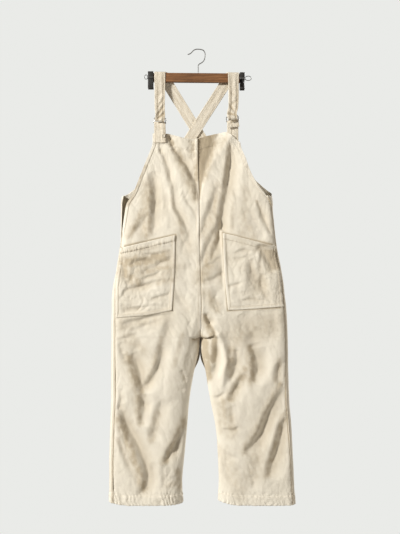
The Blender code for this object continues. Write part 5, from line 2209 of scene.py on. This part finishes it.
@dataclass
class ClipHanger:
    """The small wooden clip hanger."""

    wood: Finish
    wire: Finish
    dark: Finish
    bar_ends: tuple = (-0.1436, 0.1226)
    hook: tuple = (
        (-0.0053, -0.072), (-0.0053, -0.059), (-0.0052, -0.048), (-0.002, -0.0435), (0.0045, -0.04),
        (0.0115, -0.0335), (0.0152, -0.0245), (0.016, -0.017), (0.0152, -0.009), (0.011, -0.0018),
        (0.0043, 0.0013), (-0.004, 0.0024), (-0.0124, 0.002), (-0.0195, -0.001), (-0.0245, -0.006),
        (-0.03, -0.011), (-0.0372, -0.014),
    )

    def build(self) -> None:
        """Make bar, hook, clips and end loops."""
        self._bar()
        line = spline(np.array([(x, 0.0, z) for x, z in self.hook]), 0.0015)
        line[0, 2] = bar_top(line[0, 0]) + SEAM_GAP + 0.001
        hook = swept_tube("hanger_hook_wire", line, 0.0015, 16, self.wire)
        settle(hook, "wire", "hanger_hook")
        self._clip("clip_left", -0.1526, 0.017, -0.068, -0.1205, False)
        self._clip("clip_right", 0.1306, 0.015, -0.071, -0.1235, True)
        self._loop("loop_left", -0.173, -0.1615, -0.0915, -0.076)
        self._loop("loop_right", 0.1385, 0.16, -0.0955, -0.08)
        LOG.info("clip hanger built")

    def _bar(self) -> None:
        """The rounded board, eased at its ends."""
        outline = rounded(BAR_THICK / 2, BAR_TALL / 2, BAR_ROUND, 15)
        low, high = self.bar_ends
        stations = [(low, 0.9), (low + 0.0005, 0.96), (low + 0.0015, 1.0)]
        stations += [(x, 1.0) for x in np.linspace(low + 0.004, high - 0.004, 40)]
        stations += [(high - 0.0015, 1.0), (high - 0.0005, 0.96), (high, 0.9)]
        points = [(x, y * scale, bar_top(x) - BAR_TALL / 2 + z * scale) for x, scale in stations for y, z in outline]
        count = len(outline)
        starts = [index * count for index in range(len(stations))]
        faces = ring_faces(starts, count) + turned_round(cap_faces(0, count)) + cap_faces(starts[-1], count)
        piece = mesh_object("hanger_bar_board", np.array(points), np.array(faces), self.wood)
        settle(piece, "wood", "hanger_bar")

    def _clip(self, name: str, x: float, width: float, high: float, low: float, open_foot: bool) -> None:
        """Two pinched jaws with ribbed faces, a cross bar and a steel spring band.

        Args:
            name: the clip's node.
            x: its middle.
            width: its width.
            high: its top.
            low: its foot.
            open_foot: True where the front jaw ends in an open loop with a foot bar.
        """
        half = width / 2
        neck = high - 0.016
        blocks = [self._slab(-half, half, high, neck, -0.008, 0.008),
                  self._slab(-half, half, neck + 0.001, low, 0.005, 0.009)]
        if open_foot:
            foot = low + 0.0065
            blocks.append(self._slab(-half, half, foot, low, -0.0092, -0.0045))
            for way in (-1, 1):
                top, out = way * half * 0.25, way * half
                blocks.append(((top - 0.0014, neck + 0.001), (top + 0.0014, neck + 0.001),
                               (out - way * 0.0002, foot - 0.001), (out - way * 0.003, foot - 0.001),
                               -0.0088, -0.005))
        else:
            blocks.append(self._slab(-half, half, neck + 0.001, low, -0.009, -0.005))
            for k in range(4):
                at = (k - 1.5) * width * 0.22
                blocks.append(self._slab(at - 0.0008, at + 0.0008, neck - 0.006, low + 0.003, -0.0098, -0.0086))
        for k in range(3):
            z = neck - 0.0002 + 0.0042 * (k + 1)
            blocks.append(self._slab(-half * 0.94, half * 0.94, z, z - 0.0012, -0.0087, -0.0078))
        points, faces = [], []
        for *corners, near, far in blocks:
            base = len(points)
            points += [(x + cx, near, cz) for cx, cz in corners] + [(x + cx, far, cz) for cx, cz in corners]
            faces += [(base + 3, base + 2, base + 1, base), (base + 4, base + 5, base + 6, base + 7)]
            faces += [(base + k, base + (k + 1) % 4, base + 4 + (k + 1) % 4, base + 4 + k) for k in range(4)]
        mesh = bpy.data.meshes.new(name + "_jaws")
        mesh.from_pydata(points, [], faces)
        piece = new_object(name + "_jaws", mesh)
        mesh.materials.append(self.dark)
        self._outwards(mesh)
        edge = piece.modifiers.new("eased edges", "BEVEL")
        edge.width, edge.segments, edge.limit_method = 0.0004, 2, "ANGLE"
        mesh.shade_smooth()
        settle(piece, "clip", name)
        for number, z in enumerate((neck - 0.001, neck - 0.0044)):
            line = [(-half - 0.0006, 0.0086, z), (-half - 0.0006, -0.008, z), (-half + 0.0012, -0.01, z),
                    (half - 0.0012, -0.01, z), (half + 0.0006, -0.008, z), (half + 0.0006, 0.0086, z)]
            path = spline(np.array([(x + cx, cy, cz) for cx, cy, cz in line]), 0.0015)
            band = swept_tube(f"{name}_spring_{number}", path, 0.0008, 8, self.wire, up=(0.0, 0.0, 1.0))
            settle(band, "wire")

    @staticmethod
    def _slab(left: float, right: float, top: float, foot: float, near: float, far: float) -> tuple:
        """A straight block: its four corners, its near face and its far face."""
        return ((left, top), (right, top), (right, foot), (left, foot), near, far)

    @staticmethod
    def _outwards(mesh: bpy.types.Mesh) -> None:
        """Turn a closed mesh's faces outwards.

        Args:
            mesh: the mesh.
        """
        work = bmesh.new()
        work.from_mesh(mesh)
        bmesh.ops.recalc_face_normals(work, faces=work.faces)
        work.to_mesh(mesh)
        work.free()

    def _loop(self, name: str, x0: float, x1: float, z0: float, z1: float) -> None:
        """A small wire loop beside a clip.

        Args:
            name: the loop's node.
            x0: its left end.
            x1: its right end.
            z0: its foot.
            z1: its top.
        """
        turns = np.linspace(0, 2 * math.pi, 40, endpoint=False)
        a, b = (x1 - x0) / 2 - 0.001, (z1 - z0) / 2 - 0.001
        line = np.stack([(x0 + x1) / 2 + a * np.cos(turns), 0 * turns, (z0 + z1) / 2 + b * np.sin(turns)], axis=1)
        piece = swept_tube(name + "_wire", line, 0.001, 10, self.wire, closed=True)
        settle(piece, "wire", name)


# Camera, light and floor


@dataclass(frozen=True)
class Studio:
    """A pale studio with a large soft light from the upper left and the camera in front."""

    distance: float = 2.1
    height: float = -0.6727
    tall: float = 1.6554
    pale: tuple = (0.822, 0.83, 0.806)
    ambient: tuple = (0.125, 0.103, 0.078)

    def build(self) -> None:
        """Place the camera, the lights, the world and the floor."""
        scene = bpy.context.scene
        scene.view_settings.view_transform = "Standard"
        scene.view_settings.look = "None"
        camera = bpy.data.cameras.new("camera")
        camera.sensor_width = 36.0
        camera.lens = 18.0 / (self.tall / 2 / self.distance)
        holder = new_object("camera", camera)
        holder.location = (0.0, -self.distance, self.height)
        holder.rotation_euler = (math.pi / 2, 0.0, 0.0)
        scene.camera = holder
        self._light("key", (-56.0, 22.0), 5.2, 0.62, 376.0, (1.0, 0.985, 0.955))
        self._light("fill", (60.0, 2.0), 5.0, 2.0, 76.0, (1.0, 0.97, 0.92))
        self._light("rear", (142.0, 26.0), 3.6, 1.0, 125.0, (1.0, 0.98, 0.95))
        world = bpy.data.worlds.new("pale studio")
        scene.world = world
        world.use_nodes = True
        ground = world.node_tree.nodes["Background"]
        book = NodeBook(world.node_tree)
        seen = book.node("ShaderNodeLightPath").outputs["Is Camera Ray"]
        book.link(book.mix(seen, self.ambient, self.pale), ground.inputs["Color"])
        self._floor()

    def _light(self, name: str, way: tuple, away: float, size: float, power: float, colour: tuple) -> None:
        """A square area light aimed at the garment's middle.

        Args:
            name: the light's name.
            way: its azimuth from the camera and its elevation, in degrees.
            away: its distance.
            size: its side.
            power: its power in watts.
            colour: its colour.
        """
        turn, lift = (math.radians(value) for value in way)
        back = Vector((math.sin(turn) * math.cos(lift), -math.cos(turn) * math.cos(lift), math.sin(lift)))
        lamp = bpy.data.lights.new(name, "AREA")
        lamp.size, lamp.energy, lamp.color = size, power, colour
        holder = new_object(name, lamp)
        holder.location = Vector((0.0, 0.0, -0.75)) + back * away
        holder.rotation_euler = back.to_track_quat("Z", "Y").to_euler()

    def _floor(self) -> None:
        """A plain pale round floor, well below the hem."""
        count, radius, low = 96, 1.7, -2.28
        turns = np.linspace(0, 2 * math.pi, count, endpoint=False)
        points = [(0.0, 0.0, low)] + [(radius * math.cos(t), radius * math.sin(t), low) for t in turns]
        mesh = bpy.data.meshes.new("floor")
        mesh.from_pydata(points, [], [(0, 1 + k, 1 + (k + 1) % count) for k in range(count)])
        made, _, shader = new_finish("pale floor")
        set_values(shader, ("Base Color", (0.44, 0.44, 0.43, 1.0)), ("Roughness", 0.9))
        mesh.materials.append(made)
        new_object("floor", mesh)


FASTENINGS = (
    (STRAP_LINES[0],
     (StripFold(0.084, 0.9, 0.003, 0.014, 0.0062, 0.004), StripFold(0.101, 1.5, 0.000, 0.013, 0.0074, 0.0034),
      StripFold(0.124, 1.5, 0.004, 0.01, 0.0066, 0.0022), StripFold(0.158, 0.8, 0.000, 0.012, 0.007, 0.0012)),
     ((-0.006, 0.003, -0.001), (0.0095, 0.0022, -0.0014)),
     -0.123, (-0.2905, -0.2905), True, 0.0,
     (StripFold(0.047, -0.2, 0.0, 0.02, 0.002, 0.0016), StripFold(0.04, 0.15, 0.006, 0.01, 0.0018, 0.0014)),
     ((0.003, 0.0009, 0.0012),), 0.5, 0.12),
    (STRAP_LINES[1],
     (StripFold(0.084, -0.4, 0.000, 0.018, 0.005, 0.0042), StripFold(0.102, -1.2, -0.002, 0.012, 0.0066, 0.0028),
      StripFold(0.122, 0.7, 0.003, 0.01, 0.006, 0.002), StripFold(0.15, -0.8, 0.000, 0.012, 0.007, 0.0012)),
     ((-0.0065, 0.0028, -0.0013), (0.0095, 0.0022, -0.0012)),
     0.101, (-0.018, -0.292), False, 0.0014,
     (StripFold(0.016, 0.6, -0.004, 0.008, 0.002, 0.0012), StripFold(0.03, -0.8, 0.004, 0.01, 0.0024, 0.0014)),
     ((-0.004, 0.001, -0.0008),), 0.5, 0.095),
)


def main() -> None:
    """Build every piece in order."""
    logging.basicConfig(level=logging.INFO, format="%(name)s: %(message)s")
    effects = SharedEffects()
    cord = CordFinish("cream corduroy").make(effects)
    strap = CordFinish("strap corduroy", light=(0.815, 0.748, 0.625)).make(effects)
    steel = PlainFinish("worn steel", (0.34, 0.33, 0.31), (0.22, 0.21, 0.2), 0.34, 1.0).make()
    shell = PlainFinish("pale button", (0.62, 0.57, 0.47), (0.52, 0.47, 0.38), 0.4, 0.0).make()
    wire = PlainFinish("bright wire", (0.22, 0.22, 0.21), (0.14, 0.14, 0.14), 0.46, 0.35).make()
    dark = PlainFinish("dark clip", (0.022, 0.021, 0.02), (0.045, 0.043, 0.04), 0.42, 0.0).make()
    wood = WoodFinish("brown wood").make()
    Studio().build()
    panels = {}
    for side in Side:
        panels[side, Face.FRONT] = Panel(side, Face.FRONT, 112, (0.3, 1.15), 0.285, cord).build()
        panels[side, Face.BACK] = Panel(side, Face.BACK, 100, (0.34, 1.04), 0.3, cord).build()
    pockets = {
        Side.LEFT: Pocket(Side.LEFT, 0.002, (0.18, 0.235), cord).build(),
        Side.RIGHT: Pocket(Side.RIGHT, 0.0045, (0.18, 0.215), cord).build(),
    }
    strips = [strip for values in FASTENINGS for strip in Fastening(*values).build(strap, steel)]
    thread = PlainFinish("cream thread", (0.72, 0.65, 0.52), (0.6, 0.53, 0.41), 0.75, 0.0, 900.0, 0.00003).make()
    sew_all(Sewing(thread), panels, pockets, strips)
    build_button(shell)
    ClipHanger(wood, wire, dark).build()


if __name__ == "__main__":
    main()
